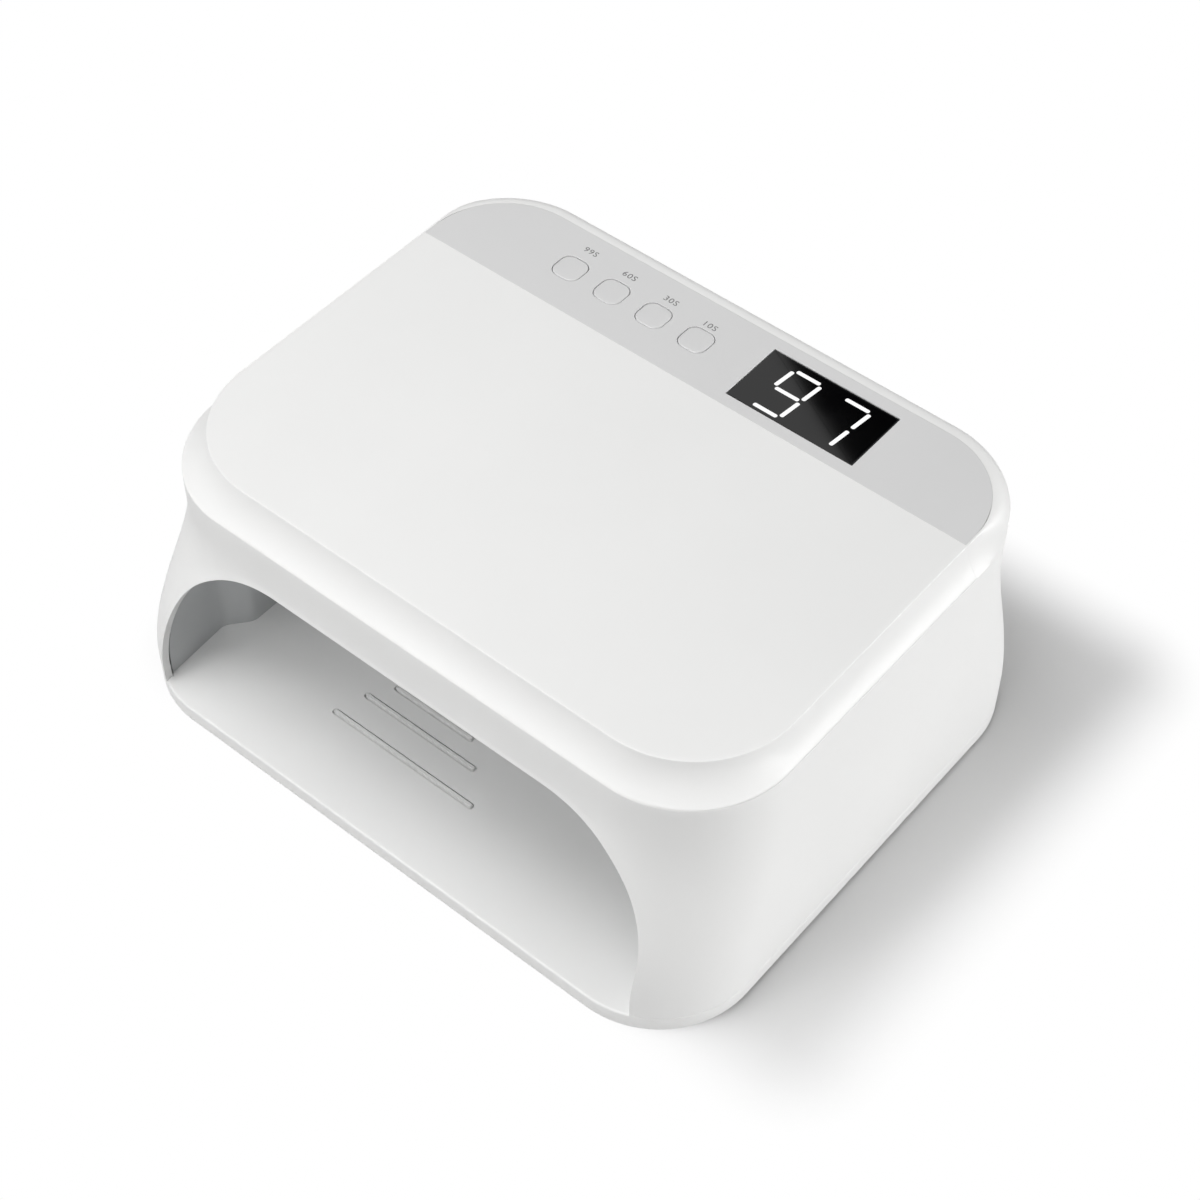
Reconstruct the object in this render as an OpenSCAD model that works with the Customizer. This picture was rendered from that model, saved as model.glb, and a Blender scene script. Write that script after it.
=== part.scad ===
// Nail lamp: a flared housing with an arched hand opening, standing on a lift-off base plate.
// The front with the hand opening faces -Y, +Z is up, and the origin is the middle of the footprint.

/* [Housing] */
// Width of the footprint
foot_w = 234; // [200:1:280]
// Depth of the footprint
foot_d = 191; // [170:1:230]
// Corner radius of the footprint
foot_r = 34; // [28:0.5:42]
// Height of the flat top above the table
top_z = 98.5; // [92:0.5:125]
// How far each side flares out at the foot
side_flare = 5.2; // [2:0.1:10]
// How far the front flares out at the foot
front_flare = 17.6; // [8:0.1:26]
// How far the back flares out at the foot
rear_flare = 4.6; // [1:0.1:10]
// Height at which the flare has reached the footprint
flare_foot_z = 14; // [10:1:24]
// Height at which the walls stand upright again
flare_top_z = 76; // [60:1:82]
// Corner radius above the flare
waist_r = 35.6; // [28:0.1:42]
// Wall thickness of the housing
wall = 2.4; // [1.8:0.1:3.2]
// Thickness of the deck under the top cover
deck_t = 3; // [2:0.1:4]
// Height of the rounding round the back of the top
rear_round_h = 6.5; // [4:0.1:8]
// Inward reach of that rounding at the sides
rear_round_side = 5; // [3:0.1:7]
// Inward reach of that rounding at the back
rear_round_back = 6.5; // [4:0.1:9]

/* [Hand opening] */
// Width of the front wall beside the opening, at the foot
jamb_w = 20; // [19:0.5:40]
// Height of the front wall between the arch and the seam
lintel_h = 18.6; // [16:0.1:30]
// Radius of the upper corners of the arch
arch_r = 44; // [30:1:50]

/* [Reflector liner] */
// Thickness of the liner
liner_t = 2; // [1.5:0.1:3]
// How far the liner stands outside the arch at the mouth
liner_mouth = 1; // [0.5:0.1:2]
// How far each side bulges inward behind the mouth
liner_bulge = 5; // [2:0.5:8]
// Depth of the wide mouth behind the footprint's front edge
mouth_d = 27; // [20:1:36]
// Length of the S curve from the mouth to the narrower tunnel
bulge_run = 11; // [8:1:18]
// How far the tunnel roof comes down behind the mouth
liner_drop = 4; // [0:0.5:8]
// Gap between the back of the tunnel and the footprint's back edge
liner_back_gap = 20; // [18:1:30]
// Radius of the round back end of the tunnel
liner_back_r = 22; // [12:1:30]
// Thickness of the liner's foot flange
flange_t = 3; // [2.6:0.1:4]

/* [Top cover] */
// Height of the seam below the flat top
seam_drop = 10.9; // [8:0.1:14]
// Forward reach of the sloping band at the front
band_front = 7.4; // [4:0.1:10]
// Outward reach of the sloping band at the sides
band_side = 3.8; // [2:0.1:6]
// Angle of the crease round the flat top
crease_angle = 25; // [10:1:40]
// Thickness of the cover
cover_t = 2.4; // [1.8:0.1:3]
// Bevel along the cover's lower edge, which marks the seam
seam_bevel = 0.4; // [0.2:0.1:0.8]
// Gap between the cover and the control panel
panel_gap = 0.3; // [0.1:0.05:0.6]

/* [Control panel] */
// Depth of the grey strip from front to back
strip_d = 34.3; // [30:0.1:42]
// Thickness of the panel
panel_t = 2.4; // [2:0.1:3]
// Width of the flat rim behind the panel
rim_land = 0.6; // [0.3:0.1:1.2]
// Width of the ledge that carries the panel
ledge_w = 3.5; // [2:0.1:5]

/* [Buttons] */
// Side of a button
button_w = 10.3; // [8:0.1:13]
// Corner radius of a button
button_r = 3.5; // [2:0.1:4]
// Distance from button to button
button_pitch = 17.2; // [15:0.1:20]
// Left to right position of the middle of the row
button_row_x = -32.8; // [-40:0.1:-28]
// How far a button stands above the panel
button_proud = 0.1; // [0:0.1:0.8]
// Travel of a button
button_travel = 0.8; // [0.4:0.1:1.2]
// Gap round a button
button_gap = 0.2; // [0.15:0.05:0.4]

/* [Display] */
// Width of the display window
window_w = 47.6; // [40:0.1:52]
// Depth of the display window
window_d = 25.2; // [22:0.1:27]
// Left to right position of the window
window_x = 38.3; // [36:0.1:44]
// Thickness of the window
window_t = 1.4; // [1:0.1:1.6]
// How far the window lies below the panel's face
window_sink = 0.3; // [0.1:0.1:0.4]

/* [Base plate] */
// Height of the base plate above the table
foot_gap = 1.2; // [0.6:0.1:2]
// Thickness of the base plate
base_t = 6; // [4:0.5:9]
// Rounding of the base plate's edge
base_edge = 1.2; // [0.5:0.1:2]
// Width of a finger rib
rib_w = 2.2; // [1.5:0.1:3]
// Height of a finger rib
rib_h = 0.8; // [0.4:0.1:1.5]

/* [Electronics] */
// Thickness of the circuit boards
board_t = 1.6; // [1:0.1:2]
// Gap between the panel and the control board
board_drop = 7; // [6:0.1:9]
// Diameter of a lamp lens
led_d = 5; // [4:0.1:6]
// Lamps in a row of the roof
led_cols = 5; // [3:1:6]
// Rows of lamps in the roof
led_rows = 4; // [3:1:5]
// Height of the power inlet above the table
inlet_z = 26; // [22:0.5:34]

/* [Hidden] */
$fn = 48;
corner_steps = 10;
fit = 0.1;
screw_fit = 0.05;
reach = 400;

// Levels that several pieces share
base_top = foot_gap + base_t;
seam_z = top_z - seam_drop;
deck_z = seam_z - deck_t;
round_z = top_z - rear_round_h;
panel_z = top_z - panel_t;
board_top = panel_z - board_drop;

// Size of the arch
arch_w = foot_w - 2 * jamb_w;
arch_z = seam_z - lintel_h;

// Outline above the flare
waist_w = foot_w - 2 * side_flare;
waist_front = -foot_d / 2 + front_flare;
waist_back = foot_d / 2 - rear_flare;
strip_back = waist_back - rear_round_back - rim_land;
panel_y = strip_back - strip_d;
strip_mid_y = panel_y + strip_d / 2;
strip_w = waist_w - 2 * rear_round_side - 2 * rim_land;
strip_r = waist_r - (rear_round_side + rear_round_back) / 2 - rim_land;

// Smooth step that is 1 at the foot and 0 above the flare
function flare_part(z) = max(0, min(1, (flare_top_z - z) / (flare_top_z - flare_foot_z)));
function flare(z) = 3 * pow(flare_part(z), 2) - 2 * pow(flare_part(z), 3);

// Share of the rear rounding's reach that is gone at a height
function rounding(z) = 1 - sqrt(max(0, 1 - pow(max(0, (z - round_z) / rear_round_h), 2)));

// A ring of points round a rectangle with four round corners, at one height
function corner(x, y, r, a, z) = [for (i = [0:corner_steps])
    [x + r * cos(a + 90 * i / corner_steps), y + r * sin(a + 90 * i / corner_steps), z]];
function ring(half, front, back, r, z) = concat(
    corner(half - r, back - r, r, 0, z),
    corner(r - half, back - r, r, 90, z),
    corner(r - half, front + r, r, 180, z),
    corner(half - r, front + r, r, 270, z));

// The housing's section at a height, drawn in by an inset
function body_ring(z, inset) = ring(
    waist_w / 2 + side_flare * flare(z) - rear_round_side * rounding(z) - inset,
    waist_front - front_flare * flare(z) + inset,
    waist_back + rear_flare * flare(z) - rear_round_back * rounding(z) - inset,
    waist_r + (foot_r - waist_r) * flare(z)
        - (rear_round_side + rear_round_back) / 2 * rounding(z) - inset, z);

// Heights of the rings: over the flare, then round the rear edge
flare_steps = 10;
round_steps = 6;
flare_levels = [for (i = [0:flare_steps])
    flare_foot_z + (flare_top_z - flare_foot_z) * i / flare_steps];
round_levels = [for (i = [0:round_steps]) round_z + rear_round_h * sin(90 * i / round_steps)];

// The cover's section, from the seam up to the crease
function band_reach(a) = (1 - sin(a)) / (1 - sin(crease_angle));
function cover_ring(a, inset, drop) = ring(
    waist_w / 2 - band_side * band_reach(a) - inset,
    waist_front + band_front * band_reach(a) + inset,
    waist_back,
    waist_r - inset,
    seam_z + seam_drop * cos(a) / cos(crease_angle) - drop);
band_steps = 7;
band_angles = [for (i = [0:band_steps]) 90 - (90 - crease_angle) * i / band_steps];

// A ring of points round an arch that stands on the level z0, at one depth
function arch_ring(half, top, r, y, z0) = concat(
    [[-half, y, z0]],
    [for (i = [0:corner_steps]) let (a = 90 * i / corner_steps)
        [r - half - r * cos(a), y, top - r + r * sin(a)]],
    [for (i = [corner_steps:-1:0]) let (a = 90 * i / corner_steps)
        [half - r + r * cos(a), y, top - r + r * sin(a)]],
    [[half, y, z0]]);

// The tunnel's inner face: wide mouth, S curve, straight run and round back
mouth_half = arch_w / 2 + liner_mouth;
mouth_top = arch_z + liner_mouth;
tunnel_half = mouth_half - liner_bulge;
tunnel_top = mouth_top - liner_drop;
mouth_y = -foot_d / 2 + mouth_d;
tunnel_y = mouth_y + bulge_run;
tunnel_back = foot_d / 2 - liner_back_gap;
function s_curve(t) = 3 * t * t - 2 * t * t * t;
s_steps = 6;
back_steps = 6;
function tunnel_rings(out, z0) = concat(
    [arch_ring(mouth_half + out, mouth_top + out, arch_r + out, -foot_d / 2 - 5, z0)],
    [for (i = [0:s_steps]) let (t = i / s_steps) arch_ring(
        mouth_half - liner_bulge * s_curve(t) + out,
        mouth_top - liner_drop * s_curve(t) + out,
        arch_r + out, mouth_y + bulge_run * t, z0)],
    [for (i = [0:back_steps]) let (a = 90 * i / back_steps, d = liner_back_r * (1 - cos(a)))
        arch_ring(tunnel_half - d + out, tunnel_top - d + out, arch_r - d / 2 + out,
            tunnel_back - liner_back_r + (liner_back_r + out) * sin(a), z0)]);

// Closed skin over rings with equal counts of points
module loft(rings) {
    n = len(rings[0]);
    m = len(rings);
    sides = [for (k = [0:m - 2], i = [0:n - 1]) let (j = (i + 1) % n)
        each [[k * n + i, (k + 1) * n + i, (k + 1) * n + j], [k * n + i, (k + 1) * n + j, k * n + j]]];
    polyhedron(
        points = [for (r = rings, p = r) p],
        faces = concat([[for (i = [0:n - 1]) i]], sides, [[for (i = [n - 1:-1:0]) (m - 1) * n + i]]),
        convexity = 6);
}

module round_rect(w, d, r) {
    square([w - 2 * r, d], center = true);
    square([w, d - 2 * r], center = true);
    for (x = [-1, 1], y = [-1, 1])
        translate([x * (w / 2 - r), y * (d / 2 - r)]) circle(r);
}

// Slab with round corners and an edge that is softened at the top and the bottom
module soft_slab(w, d, r, h, top_e, low_e) {
    module edge(reach_out) {
        polygon([[0, 0], [reach_out - low_e, 0], [reach_out, low_e], [reach_out, h - top_e],
                 [reach_out - 0.3 * top_e, h - 0.3 * top_e], [reach_out - top_e, h], [0, h]]);
    }
    for (x = [-1, 1], y = [-1, 1])
        translate([x * (w / 2 - r), y * (d / 2 - r), 0])
            rotate_extrude() edge(r);
    for (s = [0, 180]) {
        rotate([90, 0, s + 90]) translate([0, 0, r - w / 2])
            linear_extrude(w - 2 * r) edge(d / 2);
        rotate([90, 0, s]) translate([0, 0, r - d / 2])
            linear_extrude(d - 2 * r) edge(w / 2);
    }
}

module screw(d, length, head_d, head_h) {
    cylinder(h = length, d = d);
    translate([0, 0, -head_h]) cylinder(h = head_h, d = head_d);
}

// Places of fixings
flange_side_x = (mouth_half + liner_t + foot_w / 2 - wall) / 2;
flange_back_y = (tunnel_back + liner_t + foot_d / 2 - wall) / 2;
side_screw_y = 41;
side_peg_y = 20;
back_screw_x = 62;
back_magnet_x = 32;
cover_screw_in = 20;
cover_screw_front = 34;
cover_screw_back = 18;
liner_screw_at = concat([for (x = [-1, 1], y = [-1, 1]) [x * flange_side_x, y * side_screw_y]],
                        [for (x = [-1, 1]) [x * back_screw_x, flange_back_y]]);
magnet_at = concat([for (x = [-1, 1]) [x * flange_side_x, 0]], [for (x = [-1, 1]) [x * back_magnet_x, flange_back_y]]);
peg_at = [for (x = [-1, 1]) [x * flange_side_x, side_peg_y]];
feet_at = [for (x = [-1, 1], y = [-1, 1]) [x * (foot_w / 2 - foot_r), y * (foot_d / 2 - foot_r)]];
cover_screw_at = [for (x = [-1, 1], y = [waist_front + cover_screw_front, panel_y - cover_screw_back])
    [x * (waist_w / 2 - cover_screw_in), y]];
screw_d = 3;
head_d = 5.6;
head_h = 1.8;
boss_d = 7;
liner_screw_l = 12;
cover_screw_bite = 5.5;
board_screw_d = 2.5;
board_screw_bite = 4;
board_head_d = 4.6;
board_head_h = 1.4;
post_d = 6;
magnet_d = 10;
magnet_t = 2;
head_sink = 2;
strike_t = 1;
peg_d = 5;
peg_h = 4;
foot_pad_d = 14;
foot_pad_sink = 1.2;

module base_plate() color("gainsboro") {
    difference() {
        translate([0, 0, foot_gap])
            soft_slab(foot_w, foot_d, foot_r, base_t, base_edge, base_edge / 2);
        for (p = feet_at)
            translate([p[0], p[1], foot_gap - 1]) cylinder(h = foot_pad_sink + 1, d = foot_pad_d);
        for (p = magnet_at)
            translate([p[0], p[1], base_top - strike_t]) cylinder(h = strike_t + 1, d = magnet_d);
    }
    for (p = peg_at)
        translate([p[0], p[1], base_top - 1]) cylinder(h = peg_h + 1, d = peg_d);
    finger_ribs();
}

// Three ribs with round ends, shorter from front to back
rib_ends = [[-46.6, 12.3, 29.3], [-43.2, 3.3, 40.6], [-37.7, -5, 49]];
module finger_ribs() {
    for (r = rib_ends)
        translate([0, -foot_d / 2 + r[2], base_top - 1])
            linear_extrude(rib_h + 1) {
                translate([r[0] + rib_w / 2, -rib_w / 2]) square([r[1] - r[0] - rib_w, rib_w]);
                for (x = [r[0] + rib_w / 2, r[1] - rib_w / 2]) translate([x, 0]) circle(d = rib_w);
            }
}

module base_feet() color("dimgray")
    for (p = feet_at)
        translate([p[0], p[1], 0]) cylinder(h = foot_gap + foot_pad_sink, d = foot_pad_d);

module strike_plates() color("silver")
    for (p = magnet_at)
        translate([p[0], p[1], base_top - strike_t]) cylinder(h = strike_t, d = magnet_d);

module arch_2d() {
    translate([-arch_w / 2, -reach]) square([arch_w, arch_z - arch_r + reach]);
    translate([-arch_w / 2 + arch_r, -reach]) square([arch_w - 2 * arch_r, arch_z + reach]);
    for (x = [-1, 1]) translate([x * (arch_w / 2 - arch_r), arch_z - arch_r]) circle(arch_r, $fn = 96);
}

module strip_2d(grow) {
    intersection() {
        translate([0, strip_back - reach / 2]) round_rect(strip_w + 2 * grow, reach + 2 * grow, strip_r + grow);
        translate([-reach, panel_y - grow]) square([2 * reach, reach]);
    }
}

// Space inside the housing's walls, up to a height
module cavity(top, clearance) {
    inset = wall + clearance;
    levels = concat([base_top - 1], [for (z = concat(flare_levels, round_levels)) if (z < top - 1) z], [top]);
    loft([for (z = levels) body_ring(z, inset)]);
}

boss_top = base_top + flange_t + 14;
deck_land = 10;
deck_hole_w = waist_w - 4 * cover_screw_in;
deck_hole_front = waist_front + cover_screw_front + deck_land;
deck_hole_back = panel_y - deck_land;
vent_count = 9;
vent_pitch = 7;
vent_w = 2.4;
vent_h = 16;
vent_z = 50;
inlet_x = 0;
inlet_d = 11;
inlet_pad_y = foot_d / 2 - wall - 5;

module housing() color("white") {
    difference() {
        loft([for (z = concat([base_top], flare_levels, round_levels)) body_ring(z, 0)]);
        difference() {
            cavity(panel_z - deck_t, 0);
            translate([-reach, -reach, deck_z]) cube([2 * reach, reach + panel_y + wall, reach]);
        }
        translate([-reach, -reach, seam_z]) cube([2 * reach, reach + panel_y, reach]);
        translate([0, (deck_hole_front + deck_hole_back) / 2, deck_z - 1])
            linear_extrude(deck_t + 2) round_rect(deck_hole_w, deck_hole_back - deck_hole_front, deck_land);
        translate([0, 0, panel_z]) linear_extrude(panel_t + 1) strip_2d(fit);
        translate([0, 0, panel_z - deck_t - 1]) linear_extrude(deck_t + 2) strip_2d(-ledge_w);
        translate([0, waist_front + wall + 1, 0]) rotate([90, 0, 0])
            linear_extrude(front_flare + wall + 10) arch_2d();
        for (p = cover_screw_at)
            translate([p[0], p[1], deck_z - 1]) cylinder(h = deck_t + 2, d = screw_d + 0.4);
        translate([inlet_x, inlet_pad_y - 1, inlet_z]) rotate([-90, 0, 0]) cylinder(h = 30, d = inlet_d + 2 * fit);
        for (i = [0:vent_count - 1])
            translate([(i - (vent_count - 1) / 2) * vent_pitch - vent_w / 2, waist_back - 15, vent_z])
                cube([vent_w, 30, vent_h]);
    }
    liner_bosses();
    inlet_pad();
}

module liner_bosses() {
    for (p = liner_screw_at)
        difference() {
            union() {
                translate([p[0], p[1], base_top + flange_t]) cylinder(h = boss_top - base_top - flange_t, d = boss_d);
                boss_web(p);
            }
            translate([p[0], p[1], base_top]) cylinder(h = head_sink + liner_screw_l + 1, d = screw_d + 2 * screw_fit);
        }
}

// Web that ties a boss to the nearest wall
web_t = 2;
web_bite = 1;
web_h = 9;
module boss_web(p) {
    z0 = base_top + flange_t;
    if (abs(p[1]) < foot_d / 2 - foot_r)
        translate([p[0] > 0 ? p[0] : p[0] - (foot_w / 2 - wall + web_bite - abs(p[0])), p[1] - web_t / 2, z0])
            cube([foot_w / 2 - wall + web_bite - abs(p[0]), web_t, web_h]);
    else
        translate([p[0] - web_t / 2, p[1], z0])
            cube([web_t, foot_d / 2 - wall + web_bite - p[1], web_h]);
}

module inlet_pad() {
    difference() {
        translate([inlet_x, inlet_pad_y, inlet_z]) rotate([-90, 0, 0])
            cylinder(h = foot_d / 2 - wall + web_bite - inlet_pad_y, d = inlet_d + 6);
        translate([inlet_x, inlet_pad_y - 1, inlet_z]) rotate([-90, 0, 0]) cylinder(h = 30, d = inlet_d + 2 * fit);
    }
}

module top_cover() color("whitesmoke") {
    difference() {
        loft(concat([cover_ring(90, seam_bevel, 0), cover_ring(90, 0, -seam_bevel)],
                    [for (a = band_angles) if (a < 88) cover_ring(a, 0, 0)]));
        difference() {
            loft([for (a = band_angles) cover_ring(a, cover_t, cover_t)]);
            for (p = cover_screw_at)
                translate([p[0], p[1], seam_z]) cylinder(h = seam_drop, d = boss_d);
        }
        translate([-reach, panel_y - panel_gap, 0]) cube([2 * reach, reach, reach]);
        for (p = cover_screw_at)
            translate([p[0], p[1], seam_z - 1]) cylinder(h = cover_screw_bite + 1.5, d = screw_d + 2 * screw_fit);
    }
}

button_xs = [for (i = [0:3]) button_row_x + (i - 1.5) * button_pitch];
board_w = window_x + window_w / 2 + 6 - (button_xs[0] - button_w / 2 - 10);
board_x = window_x + window_w / 2 + 6 - board_w / 2;
board_d = strip_d - 2 * ledge_w - 2 * deck_t;
post_at = [for (x = [-1, 1]) [board_x + x * (board_w / 2 - 4), strip_mid_y]];
mid_post_at = [[(button_xs[3] + button_w / 2 + window_x - window_w / 2) / 2, strip_mid_y]];
module_w = window_w - 4;
module_d = window_d - 4;
window_low = top_z - window_sink - window_t;

module control_panel() color("silver") {
    difference() {
        translate([0, 0, panel_z]) linear_extrude(panel_t) difference() {
            strip_2d(0);
            for (x = button_xs)
                translate([x, strip_mid_y])
                    round_rect(button_w + 2 * button_gap, button_w + 2 * button_gap, button_r + button_gap);
            translate([window_x, strip_mid_y]) square([module_w + 2 * fit, module_d + 2 * fit], center = true);
        }
        translate([window_x - window_w / 2 - fit, strip_mid_y - window_d / 2 - fit, window_low])
            cube([window_w + 2 * fit, window_d + 2 * fit, window_t + 1]);
    }
    for (p = concat(post_at, mid_post_at))
        difference() {
            translate([p[0], p[1], board_top]) cylinder(h = board_drop + 0.5, d = post_d);
            translate([p[0], p[1], board_top - 1]) cylinder(h = board_screw_bite + 2, d = board_screw_d + 2 * screw_fit);
        }
}

module display_window() color("black")
    translate([window_x - window_w / 2, strip_mid_y - window_d / 2, window_low])
        cube([window_w, window_d, window_t]);

module display_module() color("dimgray")
    translate([window_x - module_w / 2, strip_mid_y - module_d / 2, board_top])
        cube([module_w, module_d, window_low - board_top]);

module control_board() color("green")
    difference() {
        translate([board_x - board_w / 2, strip_mid_y - board_d / 2, board_top - board_t])
            cube([board_w, board_d, board_t]);
        for (p = concat(post_at, mid_post_at))
            translate([p[0], p[1], board_top - board_t - 1]) cylinder(h = board_t + 2, d = board_screw_d + 0.4);
    }

switch_w = 6;
switch_h = 3.4;
plunger_h = 0.8;
module tact_switches() color("black")
    for (x = button_xs) {
        translate([x - switch_w / 2, strip_mid_y - switch_w / 2, board_top]) cube([switch_w, switch_w, switch_h]);
        translate([x, strip_mid_y, board_top + switch_h]) cylinder(h = plunger_h, d = 3.4);
    }

// Cap, retaining flange under the panel and a stem down to the switch
button_flange_t = 0.8;
button_flange_w = button_w + 2.4;
stem_low = board_top + switch_h + plunger_h + button_travel + fit;
module button_at(i) color("whitesmoke") {
    translate([button_xs[i], strip_mid_y, 0]) {
        translate([0, 0, panel_z - fit - button_flange_t])
            soft_slab(button_w, button_w, button_r, panel_t + fit + button_flange_t + button_proud, 0.5, 0.1);
        translate([0, 0, panel_z - fit - button_flange_t]) linear_extrude(button_flange_t)
            round_rect(button_flange_w, button_flange_w, button_r);
        translate([0, 0, stem_low]) cylinder(h = panel_z - stem_low, d = 4);
    }
}

module reflector_liner() color("lightgray") {
    difference() {
        union() {
            intersection() {
                loft(tunnel_rings(liner_t, base_top));
                cavity(deck_z, 0.05);
            }
            intersection() {
                translate([0, 0, base_top]) linear_extrude(flange_t) square([reach, reach], center = true);
                cavity(deck_z, 0.15);
            }
            for (p = roof_post_at)
                translate([p[0], p[1], tunnel_top]) cylinder(h = liner_t + roof_post_h, d = post_d);
            for (s = [-1, 1], y = side_post_ys)
                translate([s * tunnel_half, y, side_led_z]) rotate([0, s * 90, 0])
                    cylinder(h = liner_t + side_post_h, d = 5);
        }
        loft(tunnel_rings(0, base_top - 2));
        for (p = liner_screw_at)
            translate([p[0], p[1], base_top - 1]) cylinder(h = flange_t + 2, d = screw_d + 0.4);
        for (p = liner_screw_at)
            translate([p[0], p[1], base_top - 1]) cylinder(h = 1 + head_sink, d = head_d + 0.4);
        for (p = magnet_at)
            translate([p[0], p[1], base_top - 1]) cylinder(h = 1 + magnet_t, d = magnet_d + 2 * fit);
        for (p = peg_at)
            translate([p[0], p[1], base_top - 1]) cylinder(h = flange_t + 2, d = peg_d + 1);
        for (p = led_at)
            translate([p[0], p[1], tunnel_top - 1]) cylinder(h = liner_t + 2, d = led_d + 2 * fit);
        for (s = [-1, 1], y = side_led_ys)
            translate([s * (tunnel_half - 1), y, side_led_z]) rotate([0, s * 90, 0])
                cylinder(h = liner_t + 2, d = led_d + 2 * fit);
        translate([sensor_x, sensor_y, tunnel_top - 1]) cylinder(h = liner_t + 2, d = sensor_d + 2 * fit);
    }
}

// Lamps: a grid in the flat of the roof and a row low on each side
roof_post_h = 3;
side_post_h = 3;
side_board_h = 12;
side_led_z = base_top + flange_t + 1 + side_board_h / 2;
roof_flat = 2 * (tunnel_half - arch_r);
led_pitch_x = (roof_flat - 2 * led_d) / (led_cols - 1);
led_pitch_y = 22;
led_mid_y = (tunnel_y + tunnel_back - liner_back_r) / 2;
led_at = [for (i = [0:led_cols - 1], j = [0:led_rows - 1])
    [(i - (led_cols - 1) / 2) * led_pitch_x, led_mid_y + (j - (led_rows - 1) / 2) * led_pitch_y]];
side_led_ys = [for (i = [-2:2]) led_mid_y + i * 17];
side_post_ys = [led_mid_y - 42, led_mid_y + 42];
roof_board_w = roof_flat;
roof_board_d = led_pitch_y * (led_rows - 1) + 24;
roof_post_at = [for (x = [-1, 1], y = [-1, 1])
    [x * (roof_board_w / 2 - 5), led_mid_y + y * (roof_board_d / 2 - 5)]];
roof_board_z = tunnel_top + liner_t + roof_post_h;
side_board_l = 94;
side_board_x = tunnel_half + liner_t + side_post_h;
led_proud = 1.2;
sensor_d = 6;
sensor_x = led_pitch_x / 2;
sensor_y = led_mid_y - led_pitch_y;

module roof_led_board() color("white")
    translate([-roof_board_w / 2, led_mid_y - roof_board_d / 2, roof_board_z])
        cube([roof_board_w, roof_board_d, board_t]);

module side_led_boards() color("white")
    for (s = [-1, 1])
        translate([s > 0 ? side_board_x : -side_board_x - board_t, led_mid_y - side_board_l / 2, side_led_z - side_board_h / 2])
            cube([board_t, side_board_l, side_board_h]);

module led(length) {
    cylinder(h = length - led_d / 2, d = led_d);
    translate([0, 0, length - led_d / 2]) rotate_extrude() intersection() {
        circle(d = led_d);
        square(led_d);
    }
}

module uv_leds() color("lavender") {
    for (p = led_at)
        translate([p[0], p[1], roof_board_z]) rotate([180, 0, 0]) led(liner_t + roof_post_h + led_proud);
    for (s = [-1, 1], y = side_led_ys)
        translate([s * side_board_x, y, side_led_z]) rotate([0, -s * 90, 0]) led(liner_t + side_post_h + led_proud);
}

module hand_sensor() color("black")
    translate([sensor_x, sensor_y, tunnel_top - 0.5]) cylinder(h = roof_board_z - tunnel_top + 0.5, d = sensor_d);

module power_inlet() color("black")
    translate([inlet_x, inlet_pad_y, inlet_z]) rotate([-90, 0, 0]) {
        difference() {
            union() {
                translate([0, 0, -8]) cylinder(h = 8, d = inlet_d + 3);
                cylinder(h = wall + 4, d = inlet_d);
            }
            translate([0, 0, -4]) cylinder(h = 30, d = 6.4);
        }
        translate([0, 0, -5]) cylinder(h = 9, d = 2.1);
    }

module housing_magnets() color("silver")
    for (p = magnet_at)
        translate([p[0], p[1], base_top]) cylinder(h = magnet_t, d = magnet_d);

module liner_screws() color("gray")
    for (p = liner_screw_at)
        translate([p[0], p[1], base_top + head_sink]) screw(screw_d, liner_screw_l, head_d, head_h);

module cover_screws() color("gray")
    for (p = cover_screw_at)
        translate([p[0], p[1], deck_z]) screw(screw_d, deck_t + cover_screw_bite, head_d, head_h);

module board_screws() color("gray")
    for (p = concat(post_at, mid_post_at))
        translate([p[0], p[1], board_top - board_t]) 
            screw(board_screw_d, board_t + board_screw_bite, board_head_d, board_head_h);

base_plate();
base_feet();
strike_plates();
housing();
top_cover();
control_panel();
display_window();
display_module();
control_board();
tact_switches();
button_at(0);  // button_99s
button_at(1);  // button_60s
button_at(2);  // button_30s
button_at(3);  // button_10s
reflector_liner();
roof_led_board();
side_led_boards();
uv_leds();
hand_sensor();
power_inlet();
housing_magnets();
liner_screws();
cover_screws();
board_screws();
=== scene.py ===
"""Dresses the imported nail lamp: smooth moulded shells, glossy display, keys, finishes, studio stage and camera."""

import math

import bmesh
import bpy
from mathutils import Matrix, Vector


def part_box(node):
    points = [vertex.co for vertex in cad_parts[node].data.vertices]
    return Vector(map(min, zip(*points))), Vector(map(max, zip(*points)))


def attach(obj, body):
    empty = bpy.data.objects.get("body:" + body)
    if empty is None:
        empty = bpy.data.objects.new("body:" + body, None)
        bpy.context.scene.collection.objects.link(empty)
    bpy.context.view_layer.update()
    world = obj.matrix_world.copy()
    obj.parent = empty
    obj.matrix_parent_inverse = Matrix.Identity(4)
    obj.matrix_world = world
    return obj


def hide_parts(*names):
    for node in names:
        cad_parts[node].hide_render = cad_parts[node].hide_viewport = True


bl_info = {
    "name": "Nail lamp",
    "version": (1, 0, 0),
    "blender": (4, 5, 0),
    "location": "3D View > Sidebar > Nail lamp",
    "description": "Builds the visible pieces of a nail lamp round its packed frame",
    "category": "Object",
}

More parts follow.
